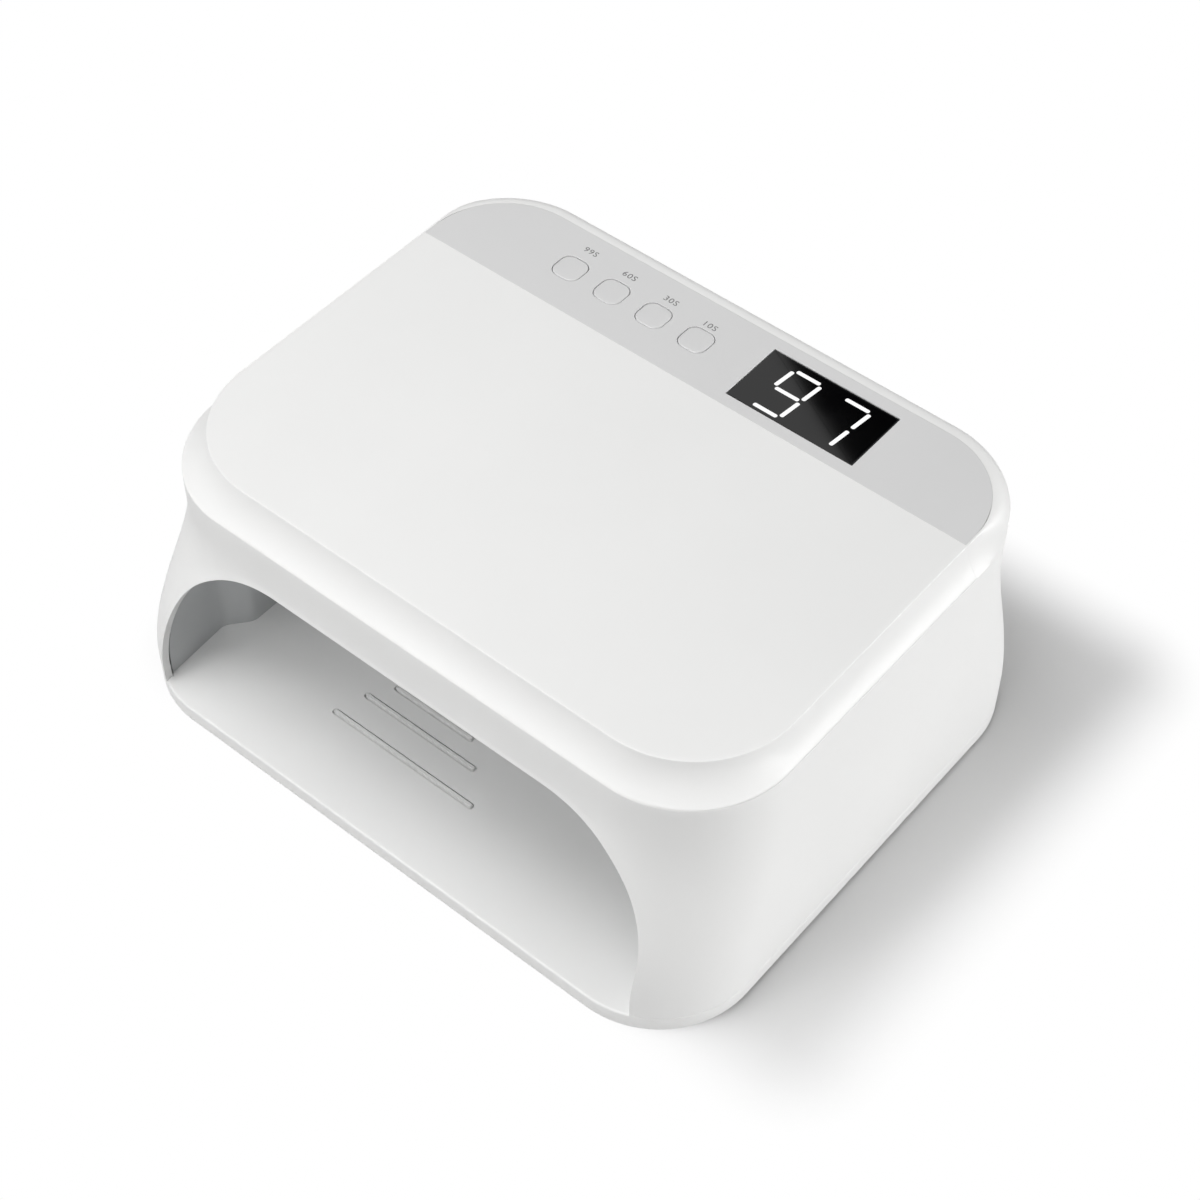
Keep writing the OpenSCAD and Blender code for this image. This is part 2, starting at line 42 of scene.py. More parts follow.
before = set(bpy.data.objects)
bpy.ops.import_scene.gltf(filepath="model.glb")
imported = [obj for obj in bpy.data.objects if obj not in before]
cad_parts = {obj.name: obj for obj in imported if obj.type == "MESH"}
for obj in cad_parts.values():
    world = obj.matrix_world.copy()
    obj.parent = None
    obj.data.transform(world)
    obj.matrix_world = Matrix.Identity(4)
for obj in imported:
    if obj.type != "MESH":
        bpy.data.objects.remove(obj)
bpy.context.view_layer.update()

SHELL_LOW, SHELL_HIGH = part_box("housing")
COVER_LOW, COVER_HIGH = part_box("top_cover")
PANEL_LOW, PANEL_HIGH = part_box("control_panel")
WINDOW_LOW, WINDOW_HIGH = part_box("display_window")
BASE_LOW, BASE_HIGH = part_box("base_plate")
FEET_LOW, FEET_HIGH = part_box("base_feet")
INLET_LOW, INLET_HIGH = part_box("power_inlet")
INLET_X, INLET_Z = (INLET_LOW.x + INLET_HIGH.x) / 2, (INLET_LOW.z + INLET_HIGH.z) / 2
BOTTOM, TOP, SEAM = SHELL_LOW.z, SHELL_HIGH.z, COVER_LOW.z
WAIST_HALF, WAIST_FRONT = COVER_HIGH.x, COVER_LOW.y
FRONT_CUT = PANEL_LOW.y

# tolerances: for places that are the same, and for vertices that merge
TINY, NEAR = 1e-6, 2e-6
# clearance between moulded pieces, a corner or edge that is only just broken, and a cutter's reach past a face
HAIR, NICK, OVERCUT = 0.0001, 0.0003, 0.002

# housing: rows of vertices from the foot up, and the vents through the flat of the back
FOOT_ROWS = (0.0085, 0.011)
WALL_ROWS = (0.054, 0.058, 0.062, 0.066, 0.0695, 0.073)
FRAME_TOP = 0.080
SEAM_ROWS = (0.0838, SEAM, 0.0886, 0.0897, 0.0909)
FRAME_SHARE = 0.85  # how far round the front corners the strip round the opening starts
VENTS = range(-4, 5)
VENT_LOW, VENT_HIGH, VENT_PITCH, VENT_HALF = 0.05, 0.066, 0.007, 0.0012
ROW_SPACE = 0.0004  # inside, a row nearer than this to the ledge is left out
INLET_HOLE, INLET_BEHIND = 0.02, 0.012  # depth of the inlet's hole, and how far in from the inlet's end it starts

# cover and panel: rows of the flat top by their way in from the crease, and the fit of both round the cut
FLAT_ROWS = (0.002, 0.006, 0.014)
COVER_GAP, PANEL_SPARE = 0.00004, 0.00006
# edges at least this far from the panel's sides, front and back belong to its openings and are rounded in full
OPENING_SIDE, OPENING_FRONT, OPENING_BACK = 0.02, 0.001, 0.002
PANEL_EDGE, OUTLINE_EDGE, PANEL_CREASE = 0.0002, 0.2, math.radians(40)  # rounding, its share outside, least angle

# keys: half width, rings of the crown as width and rise, flange and stem
KEYS = ("99s", "60s", "30s", "10s")
KEY_HALF = 0.00515
KEY_CROWN = ((0.0005, 0.00004), (0.001, 0.00003), (0.0015, 0.00002))
KEY_SINK, KEY_FLANGE, KEY_FLANGE_THICK, KEY_STEM, KEY_ROOT = 0.0009, 0.0012, 0.0008, 0.002, 0.0005

# display: segments by their ends in a unit box, digits as left end and lit segments, labels with their middles
SEGMENTS = {
    "a": (0, 1, 1, 1),
    "b": (1, 1, 1, 0.5),
    "c": (1, 0.5, 1, 0),
    "d": (0, 0, 1, 0),
    "e": (0, 0.5, 0, 0),
    "f": (0, 1, 0, 0.5),
    "g": (0, 0.5, 1, 0.5),
}
DIGITS = ((0.0228, "abcdfg"), (0.0414, "abc"))
DIGIT_WIDE, DIGIT_TALL, DIGIT_FOOT, DIGIT_LEAN = 0.0105, 0.0196, 0.0561, math.tan(math.radians(6))
DIGIT_SINK, DIGIT_THICK = 0.00002, 0.00006
SEGMENT_GAP, SEGMENT_ROUND = 1.15, 0.42  # in half strokes, and in strokes
WINDOW_EDGE = 0.00012
LABELS = (("99S", -0.0584, 0.0768), ("60S", -0.0415, 0.0759), ("30S", -0.0241, 0.0754), ("10S", -0.0075, 0.0742))
LABEL_HALF_THICK, LABEL_FONT, LABEL_SPACE, LABEL_WIDE = 0.00001, 1.35, 1.1, 1.1

# liner: least upright part of its sides, gap round the flange, screw heads' depth, play round the pegs, their holes
LEG_LEAST, FLANGE_GAP, HEAD_DEPTH, PEG_PLAY, PEG_HOLE = 0.001, 0.00015, 0.0018, 0.0005, 0.01

# base: finger ribs as place, left end and right end, with ends just short of a half circle, pegs and pads
RIBS = ((-0.0662, -0.0466, 0.0123), (-0.0549, -0.0432, 0.0033), (-0.0465, -0.0377, -0.005))
CHANNEL_ROUND, RIB_ROUND, RIB_EDGE = 0.999, 0.499, 0.3
BASE_RING, PEG_ROOT, PEG_EDGE, PAD_RADIUS = 0.0005, 0.001, 0.0005, 0.007

# inlet: the bushing's section as radius and place along the axis, from the socket's mouth, and the pin
INLET_MOUTH = INLET_HIGH.y - 0.0064
BUSHING = (
    (0.0, -0.004),
    (0.0032, -0.004),
    (0.0032, 0.0059),
    (0.0038, 0.0064),
    (0.0051, 0.0064),
    (0.0055, 0.006),
    (0.0055, 0.0),
    (0.007, 0.0),
    (0.007, -0.008),
    (0.0, -0.008),
)
PIN_RADIUS, PIN_LENGTH = 0.00105, 0.009

# camera, fitted to the photograph: place, tilt and turn in degrees, focal length and middle in pixels of the frame
EYE = (0.32032, -0.37879, 0.62937)
EYE_TILT, EYE_TURN = 50.02, 39.84
FRAME_PIXELS, FOCAL_PIXELS, MIDDLE_PIXELS, SENSOR = 1200, 2426.48, 587.82, 36.0
# lights: name, place and size; all look at the lamp's middle
AIM = (0, 0, 0.05)
LIGHTS = (
    ("key", (-0.26, -0.16, 1.2), (0.75, 0.6)),
    ("left", (-0.7, -0.9, 0.9), (0.9, 0.6)),
    ("front", (0.1, -1.1, 1.1), (1.4, 0.8)),
    ("low", (1.4, 0.5, 0.13), (1.2, 0.2)),
    ("back", (1.1, 0.9, 0.5), (0.9, 0.5)),
)
BLACK, WHITE = (0.0, 0.0, 0.0, 1.0), (1.0, 1.0, 1.0, 1.0)
FLOOR_HALF = 6.0
# the floor keeps its shade in this rectangle round the lamp and its shadow
SHADE_MIDDLE, SHADE_HALF = (0.019, 0.024, 0.0), (0.114, 0.086, 0.0)
# the part of the window that mirrors the dark flag; the flag is FLAG_REACH times as far from the mirrored eye
FLAG_PATCH = (
    (0.0095, 0.0845),
    (0.0193, 0.0784),
    (0.0352, 0.0684),
    (0.0612, 0.0539),
    (0.0680, 0.0500),
    (0.1000, 0.0480),
    (0.1000, 0.1150),
    (0.0200, 0.1150),
)
FLAG_REACH = 3.0


def linear(code):
    """An sRGB hex colour as the linear RGBA that shaders take."""
    parts = [int(code[i : i + 2], 16) / 255 for i in (0, 2, 4)]
    return [c / 12.92 if c <= 0.04045 else ((c + 0.055) / 1.055) ** 2.4 for c in parts] + [1.0]


def toned(rgba, factor):
    """A colour made darker or lighter, never over white."""
    return [min(1.0, c * factor) for c in rgba[:3]] + [1.0]


def number(name, description, default, **kind):
    return bpy.props.FloatProperty(name=name, description=description, default=default, **kind)


def length(name, description, default):
    return number(name, description, default, unit="LENGTH", precision=5)


def slope(name, description, degrees):
    return number(name, description, math.radians(degrees), subtype="ANGLE")


def power(name, description, watts):
    return number(name, description, watts, unit="POWER")


def colour(name, description, code):
    return bpy.props.FloatVectorProperty(
        name=name, description=description, default=linear(code), size=4, subtype="COLOR", min=0, max=1
    )


class LampForm(bpy.types.PropertyGroup):
    """Sizes of the moulded pieces, in metres."""

    wall: length("Wall", "Thickness of the housing's and the cover's walls", 0.0024)
    side_flare: length("Side flare", "How far each side leans out at the foot", 0.0052)
    front_flare: length("Front flare", "How far the front leans out at the foot", 0.0176)
    rear_flare: length("Rear flare", "How far the back leans out at the foot", 0.0046)
    flare_foot: length("Flare foot", "Height up to which the walls stand at full flare", 0.014)
    flare_top: length("Flare top", "Height above which the walls stand straight", 0.076)
    foot_radius: length("Foot corner", "Radius of the outline's corners at the foot", 0.034)
    waist_radius: length("Waist corner", "Radius of the outline's corners above the flare", 0.0356)
    round_height: length("Rounding height", "Height of the rounding along the rear edge", 0.0065)
    round_side: length("Rounding at the sides", "Reach of the rear rounding at the sides", 0.005)
    round_back: length("Rounding at the back", "Reach of the rear rounding at the back", 0.0065)
    rim_land: length("Rim land", "Flat rim between the rounding and the panel", 0.0005)
    ledge: length("Ledge", "Width of the ledge under the panel", 0.0036)
    panel_sink: length("Panel seat", "Depth of the panel's seat", 0.0024)
    deck: length("Deck", "Thickness of the ledge under the panel", 0.003)
    arch_half: length("Opening half width", "Half of the hand opening's width", 0.097)
    arch_top: length("Opening height", "Top of the hand opening over the ground", 0.069)
    arch_radius: length("Opening corner", "Radius of the opening's upper corners", 0.044)
    soft_edge: length("Soft edge", "Radius that softens the rim of the opening", 0.0004)
    lip_width: length("Lip width", "Width of the swelling along the opening's edge", 0.0009)
    lip_rise: length("Lip rise", "How far that swelling stands out", 0.0003)
    fine_edge: length("Fine edge", "Radius that softens seams and foot edges", 0.0004)
    band_front: length("Front band", "Reach of the cover's band at the front", 0.0074)
    band_side: length("Side band", "Reach of the cover's band at the sides", 0.005)
    crease_angle: slope("Crease angle", "Steepness of the band under the crease round the flat top", 78)
    seam_angle: slope("Seam angle", "Steepness of the band over the seam, less where the band is hollow", 42)
    seam_gap: length("Seam gap", "Dark gap between the cover's foot and the housing", 0.00015)
    crease_edge: length("Crease edge", "Width of the softened crease", 0.0007)
    blend: length("Blend", "Length over which the cover's band turns into the rear rounding", 0.026)
    liner_wall: length("Liner wall", "Thickness of the reflector liner", 0.002)
    liner_gap: length("Liner gap", "Gap between the housing's wall and the liner's front edge", 0.0006)
    liner_mouth: length("Liner mouth", "How much wider the liner's mouth is than the opening", 0.001)
    liner_flare: length("Liner flare", "How far the liner's sides lean out from the mouth to the step", 0.0015)
    liner_bulge: length("Liner step", "How far the liner's sides step in behind the mouth", 0.005)
    liner_drop: length("Liner drop", "How far the liner's roof steps down behind the mouth", 0.004)
    mouth_depth: length("Mouth depth", "Depth at which the liner starts to step in", 0.027)
    step_run: length("Step run", "Depth over which the liner steps in", 0.011)
    back_gap: length("Back gap", "From the liner's back face to the foot outline's back", 0.02)
    back_radius: length("Back rounding", "Rounding between the tunnel and its back face", 0.022)
    flange: length("Flange", "Thickness of the liner's foot flange", 0.003)
    base_edge: length("Base edge", "Radius of the base plate's upper edge", 0.0007)
    peg_out: length("Peg place", "How far the locating pegs stand from the middle", 0.1073)
    peg_back: length("Peg depth", "How far the locating pegs stand behind the middle", 0.02)
    peg_radius: length("Peg radius", "Radius of the locating pegs", 0.0025)
    rib_width: length("Rib width", "Width of the finger ribs", 0.0011)
    rib_channel: length("Rib channel", "Width of the fine channel round each rib", 0.0007)
    rib_depth: length("Rib channel depth", "Depth of the fine channel round each rib", 0.0012)
    rib_height: length("Rib height", "Height of the finger ribs", 0.0006)
    key_radius: length("Key corner", "Radius of the keys' corners", 0.0035)
    key_edge: length("Key edge", "Rounding along the top edge of the keys", 0.00045)
    key_gap: length("Key gap", "Gap round each key", 0.0002)
    inlet_radius: length("Inlet radius", "Radius of the power inlet's bushing", 0.0055)
    stroke: length("Digit stroke", "Width of the display's segments", 0.0014)
    label_height: length("Label height", "Height of the printed timer labels", 0.0024)


class LampFinish(bpy.types.PropertyGroup):
    """Colours of the finishes."""

    shell: colour("Shell", "Moulded housing and cover", "F1F1F0")
    base: colour("Base", "Moulded base plate", "F1F1F0")
    # the liner's grey is partly its own plastic and partly painted shade: it is taken darker to stand in for the dim
    # inside of the tunnel
    liner: colour("Liner", "Reflector liner", "C8CACB")
    panel: colour("Panel", "Control panel and keys", "DADADA")
    glass: colour("Display window", "Tinted acrylic of the display window", "050506")
    digit: colour("Digits", "Lit segments of the display", "FFFFFF")
    ink: colour("Ink", "Printed timer labels", "6E6E6E")
    rubber: colour("Rubber", "Foot pads", "3A3A3B")
    floor: colour("Floor", "Studio floor", "E6E6E6")


class LampStudio(bpy.types.PropertyGroup):
    """Strengths of the studio's lights and of its surroundings."""

    sky: number("Surroundings", "Strength of the even light from all round", 0.02)
    key: power("Key light", "Power of the big soft box overhead", 7.5)
    left: power("Left light", "Power of the soft box at the left in front", 3.6)
    front: power("Front light", "Power of the wide soft box in front", 8.2)
    low: power("Low light", "Power of the low strip at the right", 9.0)
    back: power("Back light", "Power of the soft box behind at the right", 6.0)
    shadow_fade: length("Shadow fade", "Breadth over which the floor's shadow fades into white", 0.036)


# ---- outlines ----


def eased(part):
    """A part from 0 to 1 that starts and ends softly."""
    return 3 * part**2 - 2 * part**3


def flare(form, z):
    """How far the walls lean out at a height, from 0 above the flare to 1 at the foot."""
    return eased(min(1.0, max(0.0, (form.flare_top - z) / (form.flare_top - form.flare_foot))))


def rounding(form, z):
    """How much of its reach the rear rounding has taken at a height."""
    rise = max(0.0, z - (TOP - form.round_height)) / form.round_height
    return 1 - math.sqrt(max(0.0, 1 - rise**2))


def body_section(form, z, inset=0.0):
    """Half width, front, back and corner radius of the housing at a height."""
    lean, gone = flare(form, z), rounding(form, z)
    radius = form.waist_radius + (form.foot_radius - form.waist_radius) * lean
    return (
        WAIST_HALF + form.side_flare * lean - form.round_side * gone - inset,
        WAIST_FRONT - form.front_flare * lean + inset,
        SHELL_HIGH.y - form.rear_flare * (1 - lean) - form.round_back * gone - inset,
        radius - (form.round_side + form.round_back) / 2 * gone - inset,
    )


def band_rise(form, angle):
    """Height of the cover's band over the seam where its face has an angle, as a part of its whole height."""
    return (math.cos(angle) - math.cos(form.seam_angle)) / (math.cos(form.crease_angle) - math.cos(form.seam_angle))


def band_angle(form, part):
    """Angle of the band's face at a part of its height."""
    return math.acos(math.cos(form.seam_angle) + part * (math.cos(form.crease_angle) - math.cos(form.seam_angle)))


def band_reach(form, angle):
    """How far the band has leant in where its face has an angle, as a part of its whole reach."""
    return (math.sin(form.seam_angle) - math.sin(angle)) / (math.sin(form.seam_angle) - math.sin(form.crease_angle))


def cover_section(form, angle, inset=0.0):
    """Half width, front, back and corner radius of the cover where its band has an angle."""
    reach = band_reach(form, angle)
    return (
        WAIST_HALF - form.band_side * reach - inset,
        WAIST_FRONT + form.band_front * reach + inset,
        SHELL_HIGH.y - form.rear_flare,
        form.waist_radius - inset,
    )


def marks(form):
    """Places along the waist outline, from the middle of the front: end of each straight and each corner."""
    half, front, back, radius = body_section(form, form.flare_top)
    ends = [half - radius]
    for run in (radius * math.pi / 2, back - front - 2 * radius, radius * math.pi / 2, half - radius):
        ends.append(ends[-1] + run)
    return ends


def around(form, s, section):
    """The point of a section's outline that belongs to the place s along the waist outline."""
    half, front, back, radius = section
    ends = marks(form)
    s = (s + ends[4]) % (2 * ends[4]) - ends[4]
    t, side = abs(s), 1 if s >= 0 else -1
    if t <= ends[0]:
        x, y = (half - radius) * t / ends[0], front
    elif t <= ends[1]:
        turn = (t - ends[0]) / (ends[1] - ends[0]) * math.pi / 2
        x, y = half - radius + radius * math.sin(turn), front + radius - radius * math.cos(turn)
    elif t <= ends[2]:
        part = (t - ends[1]) / (ends[2] - ends[1])
        x, y = half, (front + radius) * (1 - part) + (back - radius) * part
    elif t <= ends[3]:
        turn = (t - ends[2]) / (ends[3] - ends[2]) * math.pi / 2
        x, y = half - radius + radius * math.cos(turn), back - radius + radius * math.sin(turn)
    else:
        x, y = (half - radius) * (ends[4] - t) / (ends[4] - ends[3]), back
    return side * x, y


def along(form, x, section):
    """Place along the outline, on the front, at which a section reaches x."""
    half, _, _, radius = section
    ends = marks(form)
    t = abs(x)
    if t <= half - radius:
        s = ends[0] * t / (half - radius)
    else:
        turn = math.asin(min(1.0, (t - half + radius) / radius))
        s = ends[0] + (ends[1] - ends[0]) * turn / (math.pi / 2)
    return math.copysign(s, x)


def front_face(form, x, z, inset):
    """Depth of the housing's front face at a place."""
    section = body_section(form, z, inset)
    return around(form, along(form, x, section), section)[1]


def arch_parts(half, top, radius, foot):
    """Lengths of an arch: one leg, one bend, and the whole from foot to foot."""
    leg, bend = top - radius - foot, math.pi / 2 * radius
    return leg, bend, 2 * leg + 2 * bend + 2 * (half - radius)


def on_arch(t, half, top, radius, foot):
    """The point at a length t along an arch that starts at its right foot."""
    leg, bend, whole = arch_parts(half, top, radius, foot)
    side = 1
    if t > whole / 2:
        t, side = whole - t, -1
    if t <= leg:
        x, z = half, foot + t
    elif t <= leg + bend:
        turn = (t - leg) / radius
        x, z = half - radius + radius * math.cos(turn), top - radius + radius * math.sin(turn)
    else:
        x, z = half - radius - (t - leg - bend), top
    return side * x, z


# ---- bmesh helpers ----


def steps(low, high, count):
    return [low + (high - low) * i / count for i in range(count + 1)]


def middle(box):
    """Middle of a box, seen from above."""
    low, high = box
    return (low.x + high.x) / 2, (low.y + high.y) / 2


def at_height(edge, z):
    return all(abs(v.co.z - z) < TINY for v in edge.verts)


def open_edges(bm):
    return [e for e in bm.edges if len(e.link_faces) == 1]


def merge(bm, reach=TINY):
    bmesh.ops.remove_doubles(bm, verts=bm.verts, dist=reach)


def close(bm):
    bmesh.ops.holes_fill(bm, edges=open_edges(bm), sides=0)


def outwards(bm):
    bmesh.ops.recalc_face_normals(bm, faces=bm.faces)


def chain(bm, points):
    """A few vertices joined by edges."""
    verts = [bm.verts.new(p) for p in points]
    return [bm.edges.new(pair) for pair in zip(verts, verts[1:])]


def next_row(bm, edges, move=(0, 0, 0)):
    """Extrudes a chain of edges by a move; gives its new vertices, its new far edges and the faces between."""
    made = bmesh.ops.extrude_edge_only(bm, edges=edges)["geom"]
    verts = [g for g in made if isinstance(g, bmesh.types.BMVert)]
    faces = [g for g in made if isinstance(g, bmesh.types.BMFace)]
    fresh = set(verts)
    far = [e for f in faces for e in f.edges if all(v in fresh for v in e.verts)]
    bmesh.ops.translate(bm, vec=move, verts=verts)
    return verts, list(dict.fromkeys(far)), faces


def edges_of(faces):
    """The faces' edges, each once and always in the same order."""
    return list(dict.fromkeys(e for f in faces for e in f.edges))


def take_out(bm, faces):
    """Deletes faces and gives the edges round the gap, leaving out open edges."""
    inside = set(faces)
    rim = [e for e in edges_of(faces) if len(e.link_faces) == 2 and sum(f in inside for f in e.link_faces) == 1]
    bmesh.ops.delete(bm, geom=faces, context="FACES")
    return rim


def rounded(bm, half_w, half_d, radius, z, segments, centre=(0, 0), corners=(0, 1, 2, 3)):
    """A flat face with round corners, from four vertices."""
    spots = ((1, 1), (-1, 1), (-1, -1), (1, -1))
    verts = [bm.verts.new((centre[0] + half_w * x, centre[1] + half_d * y, z)) for x, y in spots]
    return round_off(bm, verts, [verts[i] for i in corners], radius, segments)


def round_off(bm, verts, corners, radius, segments):
    """A flat face on these vertices, with some of its corners rounded."""
    before = set(bm.faces)
    bm.faces.new(verts)
    bmesh.ops.bevel(
        bm,
        geom=corners,
        offset=radius,
        offset_type="OFFSET",
        segments=segments,
        profile=0.5,
        affect="VERTICES",
        material=-1,
    )
    return next(f for f in bm.faces if f not in before)


def raise_face(bm, face, height):
    """Extrudes a face straight up into a closed block and gives its new top face."""
    made = bmesh.ops.extrude_face_region(bm, geom=[face])["geom"]
    verts = {g for g in made if isinstance(g, bmesh.types.BMVert)}
    bmesh.ops.translate(bm, vec=(0, 0, height), verts=list(verts))
    return next(g for g in made if isinstance(g, bmesh.types.BMFace) and all(v in verts for v in g.verts))


def soften(bm, edges, radius, segments=3):
    """Rounds edges with a bevel."""
    bmesh.ops.bevel(
        bm,
        geom=[e for e in edges if e.is_valid],
        offset=radius,
        offset_type="OFFSET",
        segments=segments,
        profile=0.5,
        affect="EDGES",
        clamp_overlap=True,
        material=-1,
    )


def support(bm, width):
    """Rings inside the two largest faces, so that their shading stays flat."""
    for flat in sorted(bm.faces, key=lambda f: f.calc_area())[-2:]:
        bmesh.ops.inset_region(bm, faces=[flat], thickness=width, use_even_offset=True)


def drum(bm, radius, depth, centre, axis="Z", segments=28):
    """A closed cylinder whose foot is at a centre."""
    made = bmesh.ops.create_cone(
        bm, cap_ends=True, cap_tris=False, segments=segments, radius1=radius, radius2=radius, depth=depth
    )["verts"]
    bmesh.ops.translate(bm, vec=(0, 0, depth / 2), verts=made)
    turn = {"Z": Matrix(), "Y": Matrix.Rotation(-math.pi / 2, 4, "X"), "X": Matrix.Rotation(math.pi / 2, 4, "Y")}[axis]
    bmesh.ops.transform(bm, matrix=Matrix.Translation(centre) @ turn, verts=made)


def bore(bm, box, gap, foot, top, segments=28):
    """A round hole with a gap round a solid, from one height to another."""
    low, high = box
    drum(bm, (high.x - low.x) / 2 + gap, top - foot, (*middle(box), foot), segments=segments)


def shade(bm, crisp):
    """Smooth shading that breaks at edges sharper than crisp degrees."""
    for face in bm.faces:
        face.smooth = True
    for edge in bm.edges:
        edge.smooth = edge.calc_face_angle(0) < math.radians(crisp)


def shown(bm, name, *finish):
    """Makes the mesh an object of the scene."""
    mesh = bpy.data.meshes.new(name)
    bm.to_mesh(mesh)
    bm.free()
    for made in finish:
        mesh.materials.append(made)
    obj = bpy.data.objects.new(name, mesh)
    bpy.context.scene.collection.objects.link(obj)
    return obj


def piece(bm, name, body, finish, replaces=(), crisp=32):
    """Makes the mesh an object that rides on a body, smooth apart from edges sharper than crisp degrees."""
    if not all(e.is_manifold for e in bm.edges):
        print(f"{name}: the mesh isn't closed")
    shade(bm, crisp)
    obj = shown(bm, name, finish)
    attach(obj, body)
    if replaces:
        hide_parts(*replaces)
    return obj


def solids(node):
    """Lowest and highest corner of each separate solid in a CAD node."""
    bm = bmesh.new()
    bm.from_mesh(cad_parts[node].data)
    merge(bm)
    left, found = set(bm.verts), []
    while left:
        pile, island = [left.pop()], []
        while pile:
            v = pile.pop()
            island.append(v.co.copy())
            near = {e.other_vert(v) for e in v.link_edges} & left
            left -= near
            pile.extend(near)
        found.append(tuple(Vector([pick(c[i] for c in island) for i in range(3)]) for pick in (min, max)))
    bm.free()
    return sorted(found, key=lambda box: tuple(box[0]))


def join(bm, other):
    """Puts the faces of another bmesh into this one."""
    mesh = bpy.data.meshes.new("joined")
    other.to_mesh(mesh)
    other.free()
    bm.from_mesh(mesh)
    bpy.data.meshes.remove(mesh)


def carve(bm, build):
    """Gives the bmesh without the volume that build puts into another one."""
    tool = bmesh.new()
    build(tool)
    for source in (bm, tool):
        outwards(source)
    blank, cutter = shown(bm, "blank"), shown(tool, "cutter")
    cut = blank.modifiers.new("cut", "BOOLEAN")
    cut.operation, cut.solver, cut.object = "DIFFERENCE", "EXACT", cutter
    bpy.context.view_layer.update()
    carved = bpy.data.meshes.new_from_object(blank.evaluated_get(bpy.context.evaluated_depsgraph_get()))
    result = bmesh.new()
    result.from_mesh(carved)
    spent = [carved, blank.data, cutter.data]
    for obj in (blank, cutter):
        bpy.data.objects.remove(obj)
    for mesh in spent:
        bpy.data.meshes.remove(mesh)
    return result


# ---- finishes ----


def wire(tree, node, inputs):
    """Sets a node's inputs: a node or a socket is linked, anything else is a value."""
    for socket, value in inputs.items():
        if isinstance(value, bpy.types.Node):
            value = value.outputs[0]
        if isinstance(value, bpy.types.NodeSocket):
            tree.links.new(value, node.inputs[socket])
        else:
            node.inputs[socket].default_value = value


def add(tree, kind, inputs=(), **settings):
    """Adds a node with its settings, values and links."""
    made = tree.nodes.new(kind)
    for name, value in settings.items():
        setattr(made, name, value)
    wire(tree, made, dict(inputs))
    return made


def bare(made):
    """Gives a new material or world its empty tree."""
    made.use_nodes = True
    made.node_tree.nodes.clear()
    return made.node_tree


def start(name):
    """A new material, its tree, and the place on the object that its patterns read."""
    made = bpy.data.materials.new(name)
    tree = bare(made)
    return made, tree, add(tree, "ShaderNodeTexCoord").outputs["Object"]


def coated(made, inputs):
    """Puts a Principled shader with these inputs on the material's output."""
    shader = add(made.node_tree, "ShaderNodeBsdfPrincipled", inputs)
    add(made.node_tree, "ShaderNodeOutputMaterial", {"Surface": shader})
    return made


def ranged(ramp, low, high, ends=(0.0, 1.0)):
    """Sets a colour ramp's two colours and their places."""
    for stop, place, rgba in zip(ramp.color_ramp.elements, ends, (low, high)):
        stop.position, stop.color = place, rgba
    return ramp


def once(make):
    """A finish that is asked for again is the same material."""

    def given(name, *values, **more):
        return bpy.data.materials.get(name) or make(name, *values, **more)

    return given


@once
def moulded(name, base, rough=0.42, grain=0.00035):
    """Injection moulded plastic: its fine spark eroded grain breaks up the highlights, and the flow of the melt
    leaves the tone a touch uneven over some 60 mm."""
    made, tree, place = start(name)
    skin = add(tree, "ShaderNodeTexNoise", {"Vector": place, "Scale": 1 / grain, "Detail": 2.0, "Roughness": 0.6})
    flow = add(tree, "ShaderNodeTexNoise", {"Vector": place, "Scale": 1 / 0.06, "Detail": 3.0, "Roughness": 0.5})
    drift = 0.012
    tone = ranged(
        add(tree, "ShaderNodeValToRGB", {"Fac": flow}), toned(base, 1 - drift), toned(base, 1 + drift), (0.3, 0.7)
    )
    sheen = add(tree, "ShaderNodeMapRange", {"Value": skin, "To Min": rough - 0.04, "To Max": rough + 0.04})
    bump = add(tree, "ShaderNodeBump", {"Height": skin, "Distance": 0.000012, "Strength": 0.6})
    return coated(
        made, {"Base Color": tone, "Roughness": sheen, "Normal": bump, "IOR": 1.54, "Specular IOR Level": 0.5}
    )


@once
def tinted_acrylic(name, tint):
    """Polished black acrylic: nearly mirror smooth, with a faint haze of handling in its gloss, some 12 mm wide."""
    made, tree, place = start(name)
    haze = add(tree, "ShaderNodeTexNoise", {"Vector": place, "Scale": 1 / 0.012, "Detail": 3.0})
    smear = add(tree, "ShaderNodeMapRange", {"Value": haze, "To Min": 0.03, "To Max": 0.07})
    return coated(made, {"Base Color": tint, "Roughness": smear, "IOR": 1.49})


@once
def lit_segment(name, light):
    """Light of a display segment through a white diffuser: even, self-lit, about as bright as white paint."""
    made, tree, place = start(name)
    mottle = add(tree, "ShaderNodeTexNoise", {"Vector": place, "Scale": 1 / 0.0012, "Detail": 1.0})
    glow = add(tree, "ShaderNodeMapRange", {"Value": mottle, "To Min": 0.94, "To Max": 1.02})
    return coated(made, {"Base Color": BLACK, "Roughness": 0.5, "Emission Color": light, "Emission Strength": glow})


@once
def screen_ink(name, ink):
    """Screen printed ink: thin and matt, slightly broken by the mesh of 0.2 mm that it was pressed through."""
    made, tree, place = start(name)
    mesh = add(tree, "ShaderNodeTexNoise", {"Vector": place, "Scale": 1 / 0.0002, "Detail": 1.0})
    tone = ranged(add(tree, "ShaderNodeValToRGB", {"Fac": mesh}), toned(ink, 0.8), toned(ink, 1.25))
    return coated(made, {"Base Color": tone, "Roughness": 0.7})


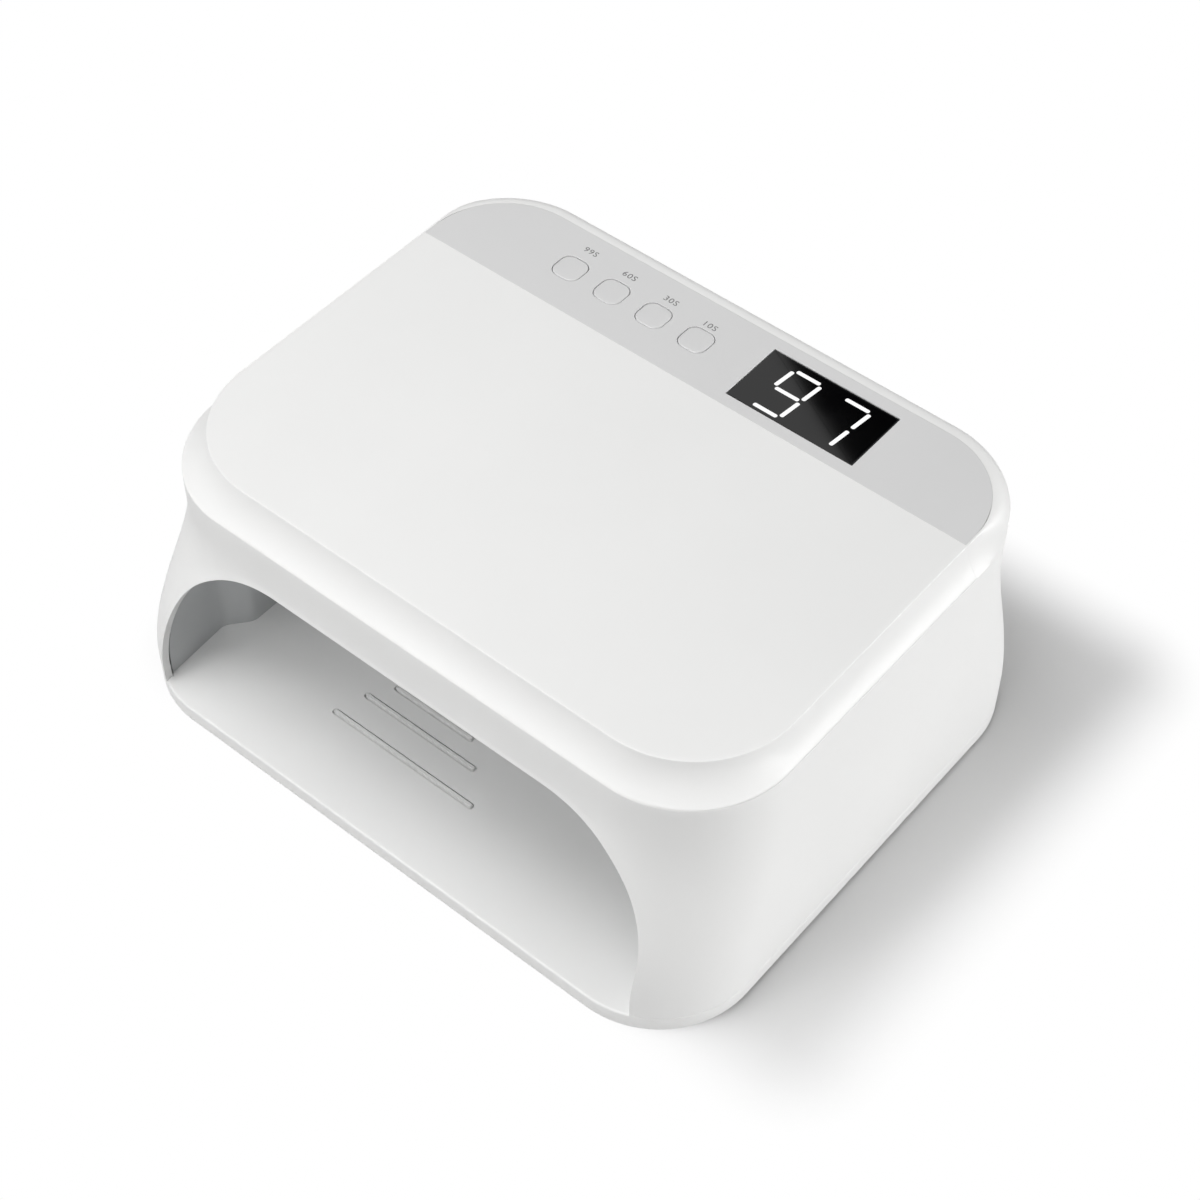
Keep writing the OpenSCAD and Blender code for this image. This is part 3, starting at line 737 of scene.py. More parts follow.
@once
def rubber(name, base):
    """Moulded silicone rubber: dark and matt, with a soft grain of 0.6 mm."""
    made, tree, place = start(name)
    grain = add(tree, "ShaderNodeTexNoise", {"Vector": place, "Scale": 1 / 0.0006, "Detail": 2.0})
    bump = add(tree, "ShaderNodeBump", {"Height": grain, "Distance": 0.00004, "Strength": 0.5})
    tone = ranged(add(tree, "ShaderNodeValToRGB", {"Fac": grain}), toned(base, 0.8), toned(base, 1.2))
    return coated(made, {"Base Color": tone, "Normal": bump, "Roughness": 0.8, "IOR": 1.41})


@once
def circuit_board(name, mask, trace):
    """Solder mask over etched copper: tracks 0.4 mm wide show as paler lines, a little raised under the gloss."""
    made, tree, place = start(name)
    sizes = {"Scale": 1.0, "Mortar Size": 0.0004, "Brick Width": 0.009, "Row Height": 0.003}
    colours = {"Color1": linear(mask), "Color2": linear(mask), "Mortar": linear(trace)}
    cells = add(tree, "ShaderNodeTexBrick", {"Vector": place, **sizes, **colours})
    relief = add(tree, "ShaderNodeBump", {"Height": cells.outputs["Fac"], "Distance": 0.00004, "Strength": 0.6})
    return coated(made, {"Base Color": cells, "Normal": relief, "Roughness": 0.25})


@once
def clear_epoxy(name):
    """Cast epoxy of the lamps: water clear with a faint violet cast, and a glint from the smooth dome."""
    made, tree, place = start(name)
    ripple = add(tree, "ShaderNodeTexNoise", {"Vector": place, "Scale": 1 / 0.002, "Detail": 1.0})
    tone = ranged(add(tree, "ShaderNodeValToRGB", {"Fac": ripple}), linear("C9C4DE"), linear("E4E1F2"))
    return coated(made, {"Base Color": tone, "Roughness": 0.06, "IOR": 1.53, "Transmission Weight": 0.35})


@once
def plated_steel(name, code, rough, streak):
    """Plated steel: bright, with fine drawn streaks of 0.3 mm along one way that stretch its highlights."""
    made, tree, place = start(name)
    drawn = add(tree, "ShaderNodeMapping", {"Vector": place, "Scale": (1.0, streak, 1.0)})
    lines = add(tree, "ShaderNodeTexNoise", {"Vector": drawn, "Scale": 1 / 0.0003, "Detail": 2.0})
    dull = add(tree, "ShaderNodeMapRange", {"Value": lines, "To Min": rough * 0.7, "To Max": rough * 1.4})
    return coated(made, {"Base Color": linear(code), "Roughness": dull, "Metallic": 1.0})


def white_shell(look):
    return moulded("abs_moulded_satin", look.shell)


def black_plastic():
    return moulded("pom_moulded_black", linear("1B1B1C"), rough=0.4)


def nickel():
    return plated_steel("steel_nickel_plated", "C9C7C2", 0.22, 1.0)


# ---- pieces ----


def columns(form):
    """Places along the outline where the housing's wall has a column of vertices, once round from the left side,
    and the place where the cover is cut."""
    ends = marks(form)
    cut = ends[1] + (FRONT_CUT - WAIST_FRONT - form.waist_radius)
    vents = sorted(ends[4] + VENT_PITCH * i + e for i in VENTS for e in (-VENT_HALF, VENT_HALF))
    half = steps(0, ends[0], 14)[:-1] + steps(ends[0], ends[1], 20)[:-1] + steps(ends[1], cut, 12)[:-1]
    right = steps(cut, ends[2], 2)[:-1] + steps(ends[2], ends[3], 20)[:-1] + steps(ends[3], vents[0], 7)[:-1]
    whole = 2 * ends[4]
    start_at = -(ends[1] + cut) / 2
    found = {round(s, 9) for s in half + [-s for s in half] + right + [whole - s for s in right] + vents}
    shifted = sorted({round(s if s > start_at else s + whole, 9) for s in found if s < whole})
    return shifted + [shifted[0] + whole], cut


class HousingMaker(bpy.types.Operator):
    """Moulded housing: flared walls round the hand opening, rounded rear edge, seat for the panel, vents"""

    bl_idname = "nail_lamp.housing"
    bl_label = "Housing"

    def execute(self, context):
        form, look = context.scene.lamp_form, context.scene.lamp_finish
        wall, ends = form.wall, marks(form)
        places, cut = columns(form)
        whole = places[-1] - places[0]
        bm = bmesh.new()
        level = bm.verts.layers.float.new("level")
        soft = bm.edges.layers.float.new("soft")

        def heart(face):
            return face.calc_center_median()

        def across(s):
            """Length along the outline from the middle of the front."""
            return abs((s + whole / 2) % whole - whole / 2)

        # the wall is a flat slab at first: x runs along the outline, y into the wall, and each row has its level
        seat, inner_top, shelf = TOP - form.panel_sink, TOP - form.panel_sink - form.deck, form.rim_land + form.ledge
        heights = [BOTTOM, *FOOT_ROWS, form.flare_foot, *steps(form.flare_foot, VENT_LOW, 9)[1:], *WALL_ROWS]
        heights += [form.flare_top, FRAME_TOP, *SEAM_ROWS]
        curve = [TOP - form.round_height * (1 - math.sin(math.radians(9 * i))) for i in range(11)]
        outer = [(0.0, z, z) for z in heights + curve]
        ledge = [(form.rim_land, TOP, TOP), (form.rim_land, seat, TOP), (shelf, seat, TOP), (shelf, inner_top, TOP)]
        below = [z for z in heights + curve[:1] if z < inner_top - ROW_SPACE]
        inner = [(wall, z, z) for z in [inner_top, *reversed(below)]]
        rows = outer + ledge + inner
        edges = chain(bm, [(s, *rows[0][:2]) for s in places])
        for v in bm.verts:
            v[level] = rows[0][2]
        bands = []
        for before, row in zip(rows, rows[1:]):
            verts, edges, faces = next_row(bm, edges, (0, row[0] - before[0], row[1] - before[1]))
            for v in verts:
                v[level] = row[2]
            bands.append(faces)

        # where the cover goes the slab ends at the seam, whose rim closes it
        seam_out = [row[1] for row in outer].index(SEAM)
        seam_in = len(outer) + len(ledge) + [row[1] for row in inner].index(SEAM)
        gone = [f for band in bands[seam_out:seam_in] for f in band if across(heart(f).x) < cut]
        bmesh.ops.delete(bm, geom=gone, context="FACES")
        seam = [
            e
            for e in bm.edges
            if at_height(e, SEAM) and all(abs(v.co.y) < TINY and across(v.co.x) < cut + TINY for v in e.verts)
        ]
        next_row(bm, [e for e in seam if len(e.link_faces) == 1], (0, wall, 0))
        for e in seam:
            e[soft] = form.fine_edge
        merge(bm)

        # the opening: a strip runs from a frame in the wall to the arch, inside and outside
        frame_s = min(places, key=lambda s: abs(s - (ends[0] + (ends[1] - ends[0]) * FRAME_SHARE)))
        grown = (*(size + form.lip_width for size in (form.arch_half, form.arch_top, form.arch_radius)), BOTTOM)
        heart_x, heart_z = form.arch_half - form.arch_radius, form.arch_top - form.arch_radius

        def at_edge(x, z):
            """The nearest place on the opening's edge."""
            if z > heart_z and abs(x) > heart_x:
                toward = Vector((abs(x) - heart_x, z - heart_z)).normalized() * form.arch_radius
                return math.copysign(heart_x + toward.x, x), heart_z + toward.y
            return (x, form.arch_top) if z > heart_z else (math.copysign(form.arch_half, x), z)

        def arch_spot(co, y):
            """Where a vertex of the frame goes on the arch, outside round the lip, inside at the very edge."""
            leg, bend, full = arch_parts(*grown)
            lower = leg + bend / 2
            t = lower * (co.z - BOTTOM) / (FRAME_TOP - BOTTOM)
            if abs(co.z - FRAME_TOP) < TINY:
                t = lower + (full / 2 - lower) * (1 - abs(co.x) / frame_s)
            x, z = on_arch(t, *grown)
            x, z = at_edge(x, z) if y else (x, z)
            x = math.copysign(x, co.x) if abs(co.x) > TINY else 0.0
            return Vector((along(form, x, body_section(form, z, y)), y, z))

        for y in (0.0, wall):
            spots = [(f, heart(f)) for f in bm.faces]
            gap = [f for f, c in spots if abs(c.y - y) < TINY and abs(c.x) < frame_s and c.z < FRAME_TOP]
            verts, _, faces = next_row(bm, take_out(bm, gap))
            for v in verts:
                v.co = arch_spot(v.co, y)
            moved = set(verts)
            rungs = [e for e in edges_of(faces) if sum(v in moved for v in e.verts) == 1]
            bmesh.ops.subdivide_edges(bm, edges=rungs, cuts=7, use_grid_fill=True)

        def open_rim():
            """The opening's outer edge and the foot's, without the slab's two ends."""

            def at_end(e):
                return all(min(abs(v.co.x - places[0]), abs(v.co.x - places[-1])) < TINY for v in e.verts)

            low = [e for e in open_edges(bm) if all(v.co.y < TINY and v.co.z < FRAME_TOP for v in e.verts)]
            return [e for e in low if not at_end(e)]

        # the wall swells out a touch towards the opening's edge
        verts, _, _ = next_row(bm, [e for e in open_rim() if not at_height(e, BOTTOM)])
        for v in verts:
            x, z = at_edge(around(form, v.co.x, body_section(form, v.co.z))[0], v.co.z)
            v.co = (along(form, x, body_section(form, z)), -form.lip_rise, z)
        for v in bm.verts:
            if v.co.z < FRAME_TOP - TINY:
                v[level] = v.co.z
        rim = open_rim()
        for e in rim:
            e[soft] = form.fine_edge if at_height(e, BOTTOM) else form.soft_edge
        jamb = along(form, form.arch_half, body_section(form, BOTTOM))
        feet = [v.co.x for v in bm.verts if abs(v.co.y - wall) < TINY and abs(v.co.z - BOTTOM) < TINY]
        verts, far, _ = next_row(bm, rim)
        for v in verts:
            co = v.co.copy()
            if co.z > BOTTOM + TINY or abs(abs(co.x) - abs(jamb)) < 1e-5:
                x = around(form, co.x, body_section(form, co.z))[0]
                v.co = (along(form, x, body_section(form, co.z, wall)), wall, co.z)
            else:
                v.co = (min(feet, key=lambda s: abs(s - co.x)), wall, co.z)
        for e in far:
            e[soft] = 0.0
        merge(bm, NEAR)

        # vents through the flat of the back
        def in_vent(c, y):
            beside = any(abs(c.x - ends[4] - VENT_PITCH * i) < VENT_HALF - HAIR for i in VENTS)
            return abs(c.y - y) < TINY and VENT_LOW < c.z < VENT_HIGH and beside

        vents, _ = [take_out(bm, [f for f in bm.faces if in_vent(heart(f), y)]) for y in (0.0, wall)]
        next_row(bm, vents, (0, wall, 0))
        for e in vents:
            e[soft] = NICK
        merge(bm)

        # the slab goes round the lamp
        for v in bm.verts:
            section = body_section(form, v[level], v.co.y)
            x, y = around(form, v.co.x, section)
            behind = max(0.0, across(v.co.x) - cut) / form.blend
            if v[level] > SEAM and behind < 1:
                # just behind the cut the rounding starts as the cover's band
                share = 1 - eased(behind)
                y += (FRONT_CUT - around(form, cut, section)[1]) * share
                if v.co.y == 0 or abs(v.co.y - wall) < TINY:
                    reach = band_reach(form, band_angle(form, (v[level] - SEAM) / (TOP - SEAM)))
                    x += math.copysign(share, x) * (WAIST_HALF - form.band_side * reach - v.co.y - section[0])
            v.co = (x, y, v.co.z)
        merge(bm, NEAR)
        close(bm)
        outwards(bm)
        for size in sorted({round(e[soft], 6) for e in bm.edges if e[soft] > 0}):
            soften(bm, [e for e in bm.edges if abs(e[soft] - size) < TINY], size)

        def inlet_hole(bm):
            foot = (INLET_X, INLET_HIGH.y - INLET_BEHIND, INLET_Z)
            drum(bm, form.inlet_radius + HAIR, INLET_HOLE, foot, "Y", 48)

        bm = carve(bm, inlet_hole)
        piece(bm, "housing_shell", "lamp", white_shell(look), replaces=["housing"])
        return {"FINISHED"}


class CoverMaker(bpy.types.Operator):
    """Top cover: a hollow band up to a crisp crease, then the flat top, cut straight along the panel"""

    bl_idname = "nail_lamp.cover"
    bl_label = "Top cover"

    def execute(self, context):
        form, look = context.scene.lamp_form, context.scene.lamp_finish
        ends = marks(form)
        half = steps(0, ends[0], 12)[:-1] + steps(ends[0], ends[1], 24)[:-1] + steps(ends[1], ends[2], 16)[:-1]
        half += steps(ends[2], ends[3], 6)[:-1] + steps(ends[3], ends[4], 4)
        places = sorted({-s for s in half} | set(half))
        crease, seam, wall, rise = form.crease_angle, form.seam_angle, form.wall, TOP - SEAM
        bm = bmesh.new()
        drop = bm.verts.layers.float.new("drop")
        soft = bm.edges.layers.float.new("soft")
        soft_rows = {(0.0, seam): form.fine_edge, (0.0, crease): form.crease_edge}

        # at first x runs along the outline, y is the inset and z the angle of the band; drop is the wall's thickness
        low = band_angle(form, wall / rise)
        foot = chain(bm, [(s, wall, low) for s in places])
        for v in bm.verts:
            v[drop] = wall
        outside = [(0.0, a) for a in steps(seam, crease, 13)] + [(t, crease) for t in FLAT_ROWS]
        inside = [(wall, a) for a in steps(low, crease, 11)[1:]] + [(wall + t, crease) for t in FLAT_ROWS]
        for rows, fall in ((outside, 0.0), (inside, wall)):
            edges, at = foot, (wall, low)
            for row in rows:
                verts, edges, _ = next_row(bm, edges, (0, row[0] - at[0], row[1] - at[1]))
                for v in verts:
                    v[drop] = fall
                # rows that follow take their edge's radius over from the one before
                for e in edges if row in soft_rows else ():
                    e[soft] = soft_rows[row]
                at = row
        for v in bm.verts:
            x, y = around(form, v.co.x, cover_section(form, v.co.z, v.co.y))
            v.co = (x, y, max(SEAM + form.seam_gap, SEAM + rise * band_rise(form, v.co.z) - v[drop]))
        merge(bm, NEAR)
        close(bm)
        cut = (0, FRONT_CUT - COVER_GAP, 0)
        geom = [*bm.verts, *bm.edges, *bm.faces]
        bmesh.ops.bisect_plane(bm, geom=geom, dist=TINY, plane_co=cut, plane_no=(0, 1, 0), clear_outer=True)
        close(bm)
        outwards(bm)
        for size in (form.fine_edge, form.crease_edge):
            soften(bm, [e for e in bm.edges if abs(e[soft] - size) < TINY], size)
        bmesh.ops.dissolve_degenerate(bm, edges=bm.edges, dist=NEAR)
        piece(bm, "cover_shell", "lamp", white_shell(look), replaces=["top_cover"])
        return {"FINISHED"}


class PanelMaker(bpy.types.Operator):
    """Control panel: grey strip along the back with openings for the keys and the display"""

    bl_idname = "nail_lamp.panel"
    bl_label = "Control panel"

    def execute(self, context):
        form, look = context.scene.lamp_form, context.scene.lamp_finish
        half_w, back = PANEL_HIGH.x + PANEL_SPARE, PANEL_HIGH.y + PANEL_SPARE
        rim_half, _, _, rim_radius = body_section(form, TOP)
        centre, corner = (0.0, (back + PANEL_LOW.y) / 2), rim_radius - (rim_half - half_w)
        bm = bmesh.new()
        deep = (back - PANEL_LOW.y) / 2
        raise_face(bm, rounded(bm, half_w, deep, corner, TOP - form.panel_sink, 24, centre, (0, 1)), form.panel_sink)

        def box_hole(bm, node, foot, tall):
            low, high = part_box(node)
            half = (high - low) / 2
            raise_face(bm, rounded(bm, half.x + HAIR, half.y + HAIR, NICK, foot, 3, middle((low, high))), tall)

        def openings(bm):
            half = KEY_HALF + form.key_gap
            for key in KEYS:
                spot = middle(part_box("button_" + key))
                hole = rounded(bm, half, half, form.key_radius + form.key_gap, TOP - 2 * OVERCUT, 10, spot)
                raise_face(bm, hole, 4 * OVERCUT)
            box_hole(bm, "display_window", WINDOW_LOW.z, 2 * OVERCUT)

        def passage(bm):
            box_hole(bm, "display_module", WINDOW_LOW.z - OVERCUT, 3 * OVERCUT)

        bm = carve(carve(bm, openings), passage)

        def inner(co):
            """Whether a vertex belongs to an opening, away from the panel's outline."""
            deep_in = PANEL_LOW.y + OPENING_FRONT < co.y < PANEL_HIGH.y - OPENING_BACK
            return deep_in and abs(co.x) < PANEL_HIGH.x - OPENING_SIDE

        weight = bm.edges.layers.float.new("bevel_weight_edge")
        for e in bm.edges:
            if e.calc_face_angle(0) > PANEL_CREASE:
                e[weight] = 1.0 if all(inner(v.co) for v in e.verts) else OUTLINE_EDGE
        finish = moulded("abs_moulded_grey", look.panel)
        obj = piece(bm, "panel_plate", "lamp", finish, replaces=["control_panel"])
        edge = obj.modifiers.new("edge", "BEVEL")
        edge.width, edge.segments, edge.limit_method, edge.harden_normals = PANEL_EDGE, 2, "WEIGHT", True
        return {"FINISHED"}


class KeysMaker(bpy.types.Operator):
    """Four keys: round cornered caps with a pillowed top, each on its own joint"""

    bl_idname = "nail_lamp.keys"
    bl_label = "Keys"

    def execute(self, context):
        form, look = context.scene.lamp_form, context.scene.lamp_finish
        rise = sum(depth for _, depth in KEY_CROWN)
        foot, wide = TOP - form.panel_sink - KEY_SINK, KEY_HALF + KEY_FLANGE
        for key in KEYS:
            low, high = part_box("button_" + key)
            centre = middle((low, high))
            bm = bmesh.new()
            cap = rounded(bm, KEY_HALF, KEY_HALF, form.key_radius, foot, 12, centre)
            soften(bm, list(raise_face(bm, cap, high.z - rise - foot).edges), form.key_edge, 4)
            top = max(bm.faces, key=lambda f: f.calc_center_median().z)
            for thickness, depth in KEY_CROWN:
                bmesh.ops.inset_region(bm, faces=[top], thickness=thickness, depth=depth, use_even_offset=True)
            raise_face(bm, rounded(bm, wide, wide, form.key_radius, foot, 8, centre), KEY_FLANGE_THICK)
            drum(bm, KEY_STEM, foot - low.z + KEY_ROOT, (*centre, low.z), segments=24)
            outwards(bm)
            finish = moulded("abs_moulded_key", look.panel, rough=0.34)
            piece(bm, "key_cap_" + key, "key_" + key, finish, replaces=["button_" + key])
        return {"FINISHED"}


class DisplayMaker(bpy.types.Operator):
    """Display: a polished black window with lit seven segment digits, and the timer labels printed by the keys"""

    bl_idname = "nail_lamp.display"
    bl_label = "Display and labels"

    def execute(self, context):
        form, look = context.scene.lamp_form, context.scene.lamp_finish
        bm = bmesh.new()
        half = (WINDOW_HIGH - WINDOW_LOW) / 2
        pane = rounded(bm, half.x, half.y, NICK, WINDOW_LOW.z, 3, middle((WINDOW_LOW, WINDOW_HIGH)))
        soften(bm, list(raise_face(bm, pane, 2 * half.z).edges), WINDOW_EDGE, 2)
        support(bm, NICK)
        outwards(bm)
        finish = tinted_acrylic("tinted_acrylic_polished", look.glass)
        piece(bm, "window_pane", "lamp", finish, replaces=["display_window"], crisp=50)

        # each segment is a leaning stroke with round ends, a small gap short of its neighbours
        bm = bmesh.new()
        for left, lit in DIGITS:
            for name in lit:
                x0, y0, x1, y1 = SEGMENTS[name]
                one = Vector((left + DIGIT_WIDE * x0, DIGIT_FOOT + DIGIT_TALL * y0, 0))
                two = Vector((left + DIGIT_WIDE * x1, DIGIT_FOOT + DIGIT_TALL * y1, 0))
                run = (two - one).normalized()
                side = Vector((-run.y, run.x, 0)) * form.stroke / 2
                short = run * form.stroke / 2 * SEGMENT_GAP
                one, two = one + short, two - short
                verts = [bm.verts.new(p) for p in (one - side, two - side, two + side, one + side)]
                for v in verts:
                    v.co.x += (v.co.y - DIGIT_FOOT) * DIGIT_LEAN
                    v.co.z = WINDOW_HIGH.z - DIGIT_SINK
                raise_face(bm, round_off(bm, verts, verts, form.stroke * SEGMENT_ROUND, 5), DIGIT_THICK)
        outwards(bm)
        piece(bm, "timer_digits", "lamp", lit_segment("display_segment_lit", look.digit))

        bm = bmesh.new()
        for words, x, y in LABELS:
            text = bpy.data.curves.new("label", "FONT")
            text.body, text.align_x, text.align_y, text.size = words, "CENTER", "CENTER", form.label_height * LABEL_FONT
            text.extrude, text.resolution_u, text.space_character = LABEL_HALF_THICK, 3, LABEL_SPACE
            holder = bpy.data.objects.new("label", text)
            context.scene.collection.objects.link(holder)
            context.view_layer.update()
            flat = bpy.data.meshes.new_from_object(holder.evaluated_get(context.evaluated_depsgraph_get()))
            stretch = Matrix.Diagonal((LABEL_WIDE, 1.0, 1.0, 1.0))
            flat.transform(Matrix.Translation((x, y, TOP + LABEL_HALF_THICK)) @ stretch)
            bm.from_mesh(flat)
            bpy.data.objects.remove(holder)
            bpy.data.curves.remove(text)
            bpy.data.meshes.remove(flat)
        merge(bm)
        outwards(bm)
        piece(bm, "timer_labels", "lamp", screen_ink("screen_print_ink", look.ink))
        return {"FINISHED"}


class LinerMaker(bpy.types.Operator):
    """Reflector liner: a smooth tunnel that steps in behind its mouth and closes in a rounded back"""

    bl_idname = "nail_lamp.liner"
    bl_label = "Reflector liner"

    def execute(self, context):
        form, look = context.scene.lamp_form, context.scene.lamp_finish
        radius = form.arch_radius
        mouth_half, mouth_top = form.arch_half + form.liner_mouth, form.arch_top + form.liner_mouth
        inner_half, inner_top = mouth_half - form.liner_bulge, mouth_top - form.liner_drop
        mouth_y, back_y = SHELL_LOW.y + form.mouth_depth, SHELL_HIGH.y - form.back_gap
        step_y, bend_y = mouth_y + form.step_run, back_y - form.back_radius
        leg, bend, whole = arch_parts(mouth_half, mouth_top, radius, BOTTOM)
        right = steps(0, leg, 6)[:-1] + steps(leg, leg + bend, 24)[:-1] + steps(leg + bend, whole / 2, 12)
        places = sorted(set(right) | {whole - t for t in right})
        # rows run from the mouth's edge to the back face, where the last ones shrink by a length
        rows = [("mouth", t) for t in steps(0, 1, 4)]
        rows += [(kind, t) for kind, count in (("step", 12), ("run", 12), ("back", 10)) for t in steps(0, 1, count)[1:]]
        rows += [("flat", t) for t in (0.003, 0.012)]

        def outline(row, more):
            """Half width, top, corner radius and depth of a row; more is the way out through the liner's wall."""
            kind, part = row
            if kind == "mouth":
                return mouth_half + form.liner_flare * part, mouth_top, radius, None
            if kind == "step":
                ease = eased(part)
                lean = form.liner_flare * (1 - ease)
                sides = mouth_half + lean - form.liner_bulge * ease
                return sides, mouth_top - form.liner_drop * ease, radius, mouth_y + form.step_run * part
            if kind == "run":
                return inner_half, inner_top, radius, step_y + (bend_y - step_y) * part
            turn = math.pi / 2 * (part if kind == "back" else 1)
            fall = form.back_radius * (1 - math.cos(turn)) + (part if kind == "flat" else 0.0)
            depth = bend_y + (form.back_radius + more) * math.sin(turn)
            return inner_half - fall, inner_top - fall, radius - fall / 2, depth

        def spot(t, row, more):
            half, top, corner, y = outline(row, more)
            shape = (half + more, top + more, min(corner + more, top + more - BOTTOM - LEG_LEAST), BOTTOM)
            own_leg, own_bend, own_whole = arch_parts(*shape)
            mirrored = t > whole / 2
            t = whole - t if mirrored else t
            if t <= leg:
                own = own_leg * t / leg
            elif t <= leg + bend:
                own = own_leg + own_bend * (t - leg) / bend
            else:
                flat = own_whole / 2 - own_leg - own_bend
                own = own_leg + own_bend + flat * (t - leg - bend) / (whole / 2 - leg - bend)
            x, z = on_arch(own_whole - own if mirrored else own, *shape)
            if y is None:
                front = front_face(form, x, z, form.wall + form.liner_gap)
                y = front + (mouth_y - front) * row[1]
            return x, y, z

        def key(v):
            return tuple(round(c, 7) for c in v.co)

        bm = bmesh.new()
        for more in (0.0, form.liner_wall):
            edges = chain(bm, [spot(t, rows[0], more) for t in places])
            order = dict(zip(list(bm.verts)[-len(places) :], places))
            for row in rows[1:]:
                old = {key(v): t for v, t in order.items()}
                verts, edges, _ = next_row(bm, edges)
                order = {v: old[key(v)] for v in verts}
                for v, t in order.items():
                    v.co = spot(t, row, more)
            ends = [v for v, t in order.items() if t in (places[0], places[-1])]
            bmesh.ops.contextual_create(bm, geom=[*edges, bm.edges.new(ends)])
        bmesh.ops.bridge_loops(bm, edges=open_edges(bm))
        merge(bm)
        outwards(bm)

        def lamp_holes(bm):
            through = 3 * OVERCUT
            for low, high in solids("uv_leds") + solids("hand_sensor"):
                mid = (low + high) / 2
                if high.z > inner_top:
                    drum(bm, (high.x - low.x) / 2 + HAIR, through, (mid.x, mid.y, inner_top - OVERCUT))
                else:
                    side = math.copysign(inner_half + form.liner_wall / 2, mid.x) - through / 2
                    drum(bm, (high.z - low.z) / 2 + HAIR, through, (side, mid.y, mid.z), "X")

        bm = carve(bm, lamp_holes)

        # foot flange, from inside the liner's wall out to the housing's wall
        rim = body_section(form, BOTTOM, form.wall + FLANGE_GAP)
        reach, end = along(form, mouth_half + form.liner_wall / 2, rim), marks(form)[4]
        outer = [around(form, s, rim) for s in steps(reach, 2 * end - reach, 96)]
        foot = [spot(0.0, row, form.liner_wall / 2)[:2] for row in rows[1:-2]]
        inner = [(-x, y) for x, y in foot] + foot[::-1]
        flange = bmesh.new()
        plate = flange.faces.new([flange.verts.new((x, y, BOTTOM)) for x, y in outer + inner])
        raise_face(flange, plate, form.flange)

        def fixing_holes(bm):
            under = BOTTOM - OVERCUT
            for low, high in solids("liner_screws"):
                bore(bm, (low, high), 2 * HAIR, under, low.z + HEAD_DEPTH)
            for low, high in solids("housing_magnets"):
                bore(bm, (low, high), HAIR, under, high.z, 40)
            for x in (-form.peg_out, form.peg_out):
                drum(bm, form.peg_radius + PEG_PLAY, PEG_HOLE, (x, form.peg_back, under))

        join(bm, carve(flange, fixing_holes))
        # the liner's colour carries painted shade for the dim inside of the tunnel, on top of its own grey
        finish = moulded("abs_moulded_liner", look.liner, rough=0.3, grain=0.0006)
        piece(bm, "liner_shell", "lamp", finish, replaces=["reflector_liner"])
        return {"FINISHED"}


class BaseMaker(bpy.types.Operator):
    """Base plate with its finger ribs and pegs, on four rubber pads"""

    bl_idname = "nail_lamp.base"
    bl_label = "Base plate"

    def execute(self, context):
        form, look = context.scene.lamp_form, context.scene.lamp_finish
        bm = bmesh.new()
        face = rounded(bm, BASE_HIGH.x, BASE_HIGH.y, form.foot_radius, BASE_LOW.z, 24)
        under = list(face.edges)
        over = list(raise_face(bm, face, BOTTOM - BASE_LOW.z).edges)
        soften(bm, under, form.base_edge / 2)
        soften(bm, over, form.base_edge, 5)
        support(bm, BASE_RING)

        def pockets(bm):
            for low, high in solids("strike_plates"):
                bore(bm, (low, high), HAIR / 2, low.z, low.z + 2 * OVERCUT, 48)
            for low, high in solids("base_feet"):
                bore(bm, (low, high), HAIR / 2, -OVERCUT, high.z, 48)

        # a fine channel runs round each rib, which stands on the channel's floor
        floor, sunk = BOTTOM - form.rib_depth, HAIR
        ribs = [(((left + right) / 2, place), (right - left) / 2) for place, left, right in RIBS]

        def channels(bm):
            wide = form.rib_width / 2 + form.rib_channel
            for centre, half in ribs:
                trench = rounded(bm, half + form.rib_channel, wide, wide * CHANNEL_ROUND, floor, 10, centre)
                raise_face(bm, trench, 2 * form.rib_depth)

        bm = carve(carve(bm, pockets), channels)
        for centre, half in ribs:
            foot = rounded(bm, half, form.rib_width / 2, form.rib_width * RIB_ROUND, floor - sunk, 10, centre)
            rib = raise_face(bm, foot, sunk + form.rib_depth + form.rib_height)
            soften(bm, list(rib.edges), form.rib_width * RIB_EDGE, 4)
        for x in (-form.peg_out, form.peg_out):
            foot = (x, form.peg_back, BOTTOM - PEG_ROOT)
            drum(bm, form.peg_radius, BASE_HIGH.z - BOTTOM + PEG_ROOT, foot, segments=32)
        soften(bm, [e for e in bm.edges if at_height(e, BASE_HIGH.z)], PEG_EDGE)
        outwards(bm)
        finish = moulded("abs_moulded_base", look.base)
        piece(bm, "base_shell", "base", finish, replaces=["base_plate"])

        bm = bmesh.new()
        out, deep = BASE_HIGH.x - form.foot_radius, BASE_HIGH.y - form.foot_radius
        for x, y in ((-out, -deep), (-out, deep), (out, -deep), (out, deep)):
            drum(bm, PAD_RADIUS, FEET_HIGH.z - FEET_LOW.z, (x, y, FEET_LOW.z), segments=40)
        soften(bm, [e for e in bm.edges if at_height(e, FEET_LOW.z)], form.fine_edge)
        finish = rubber("silicone_rubber_matt", look.rubber)
        piece(bm, "foot_pads", "base", finish, replaces=["base_feet"])
        return {"FINISHED"}


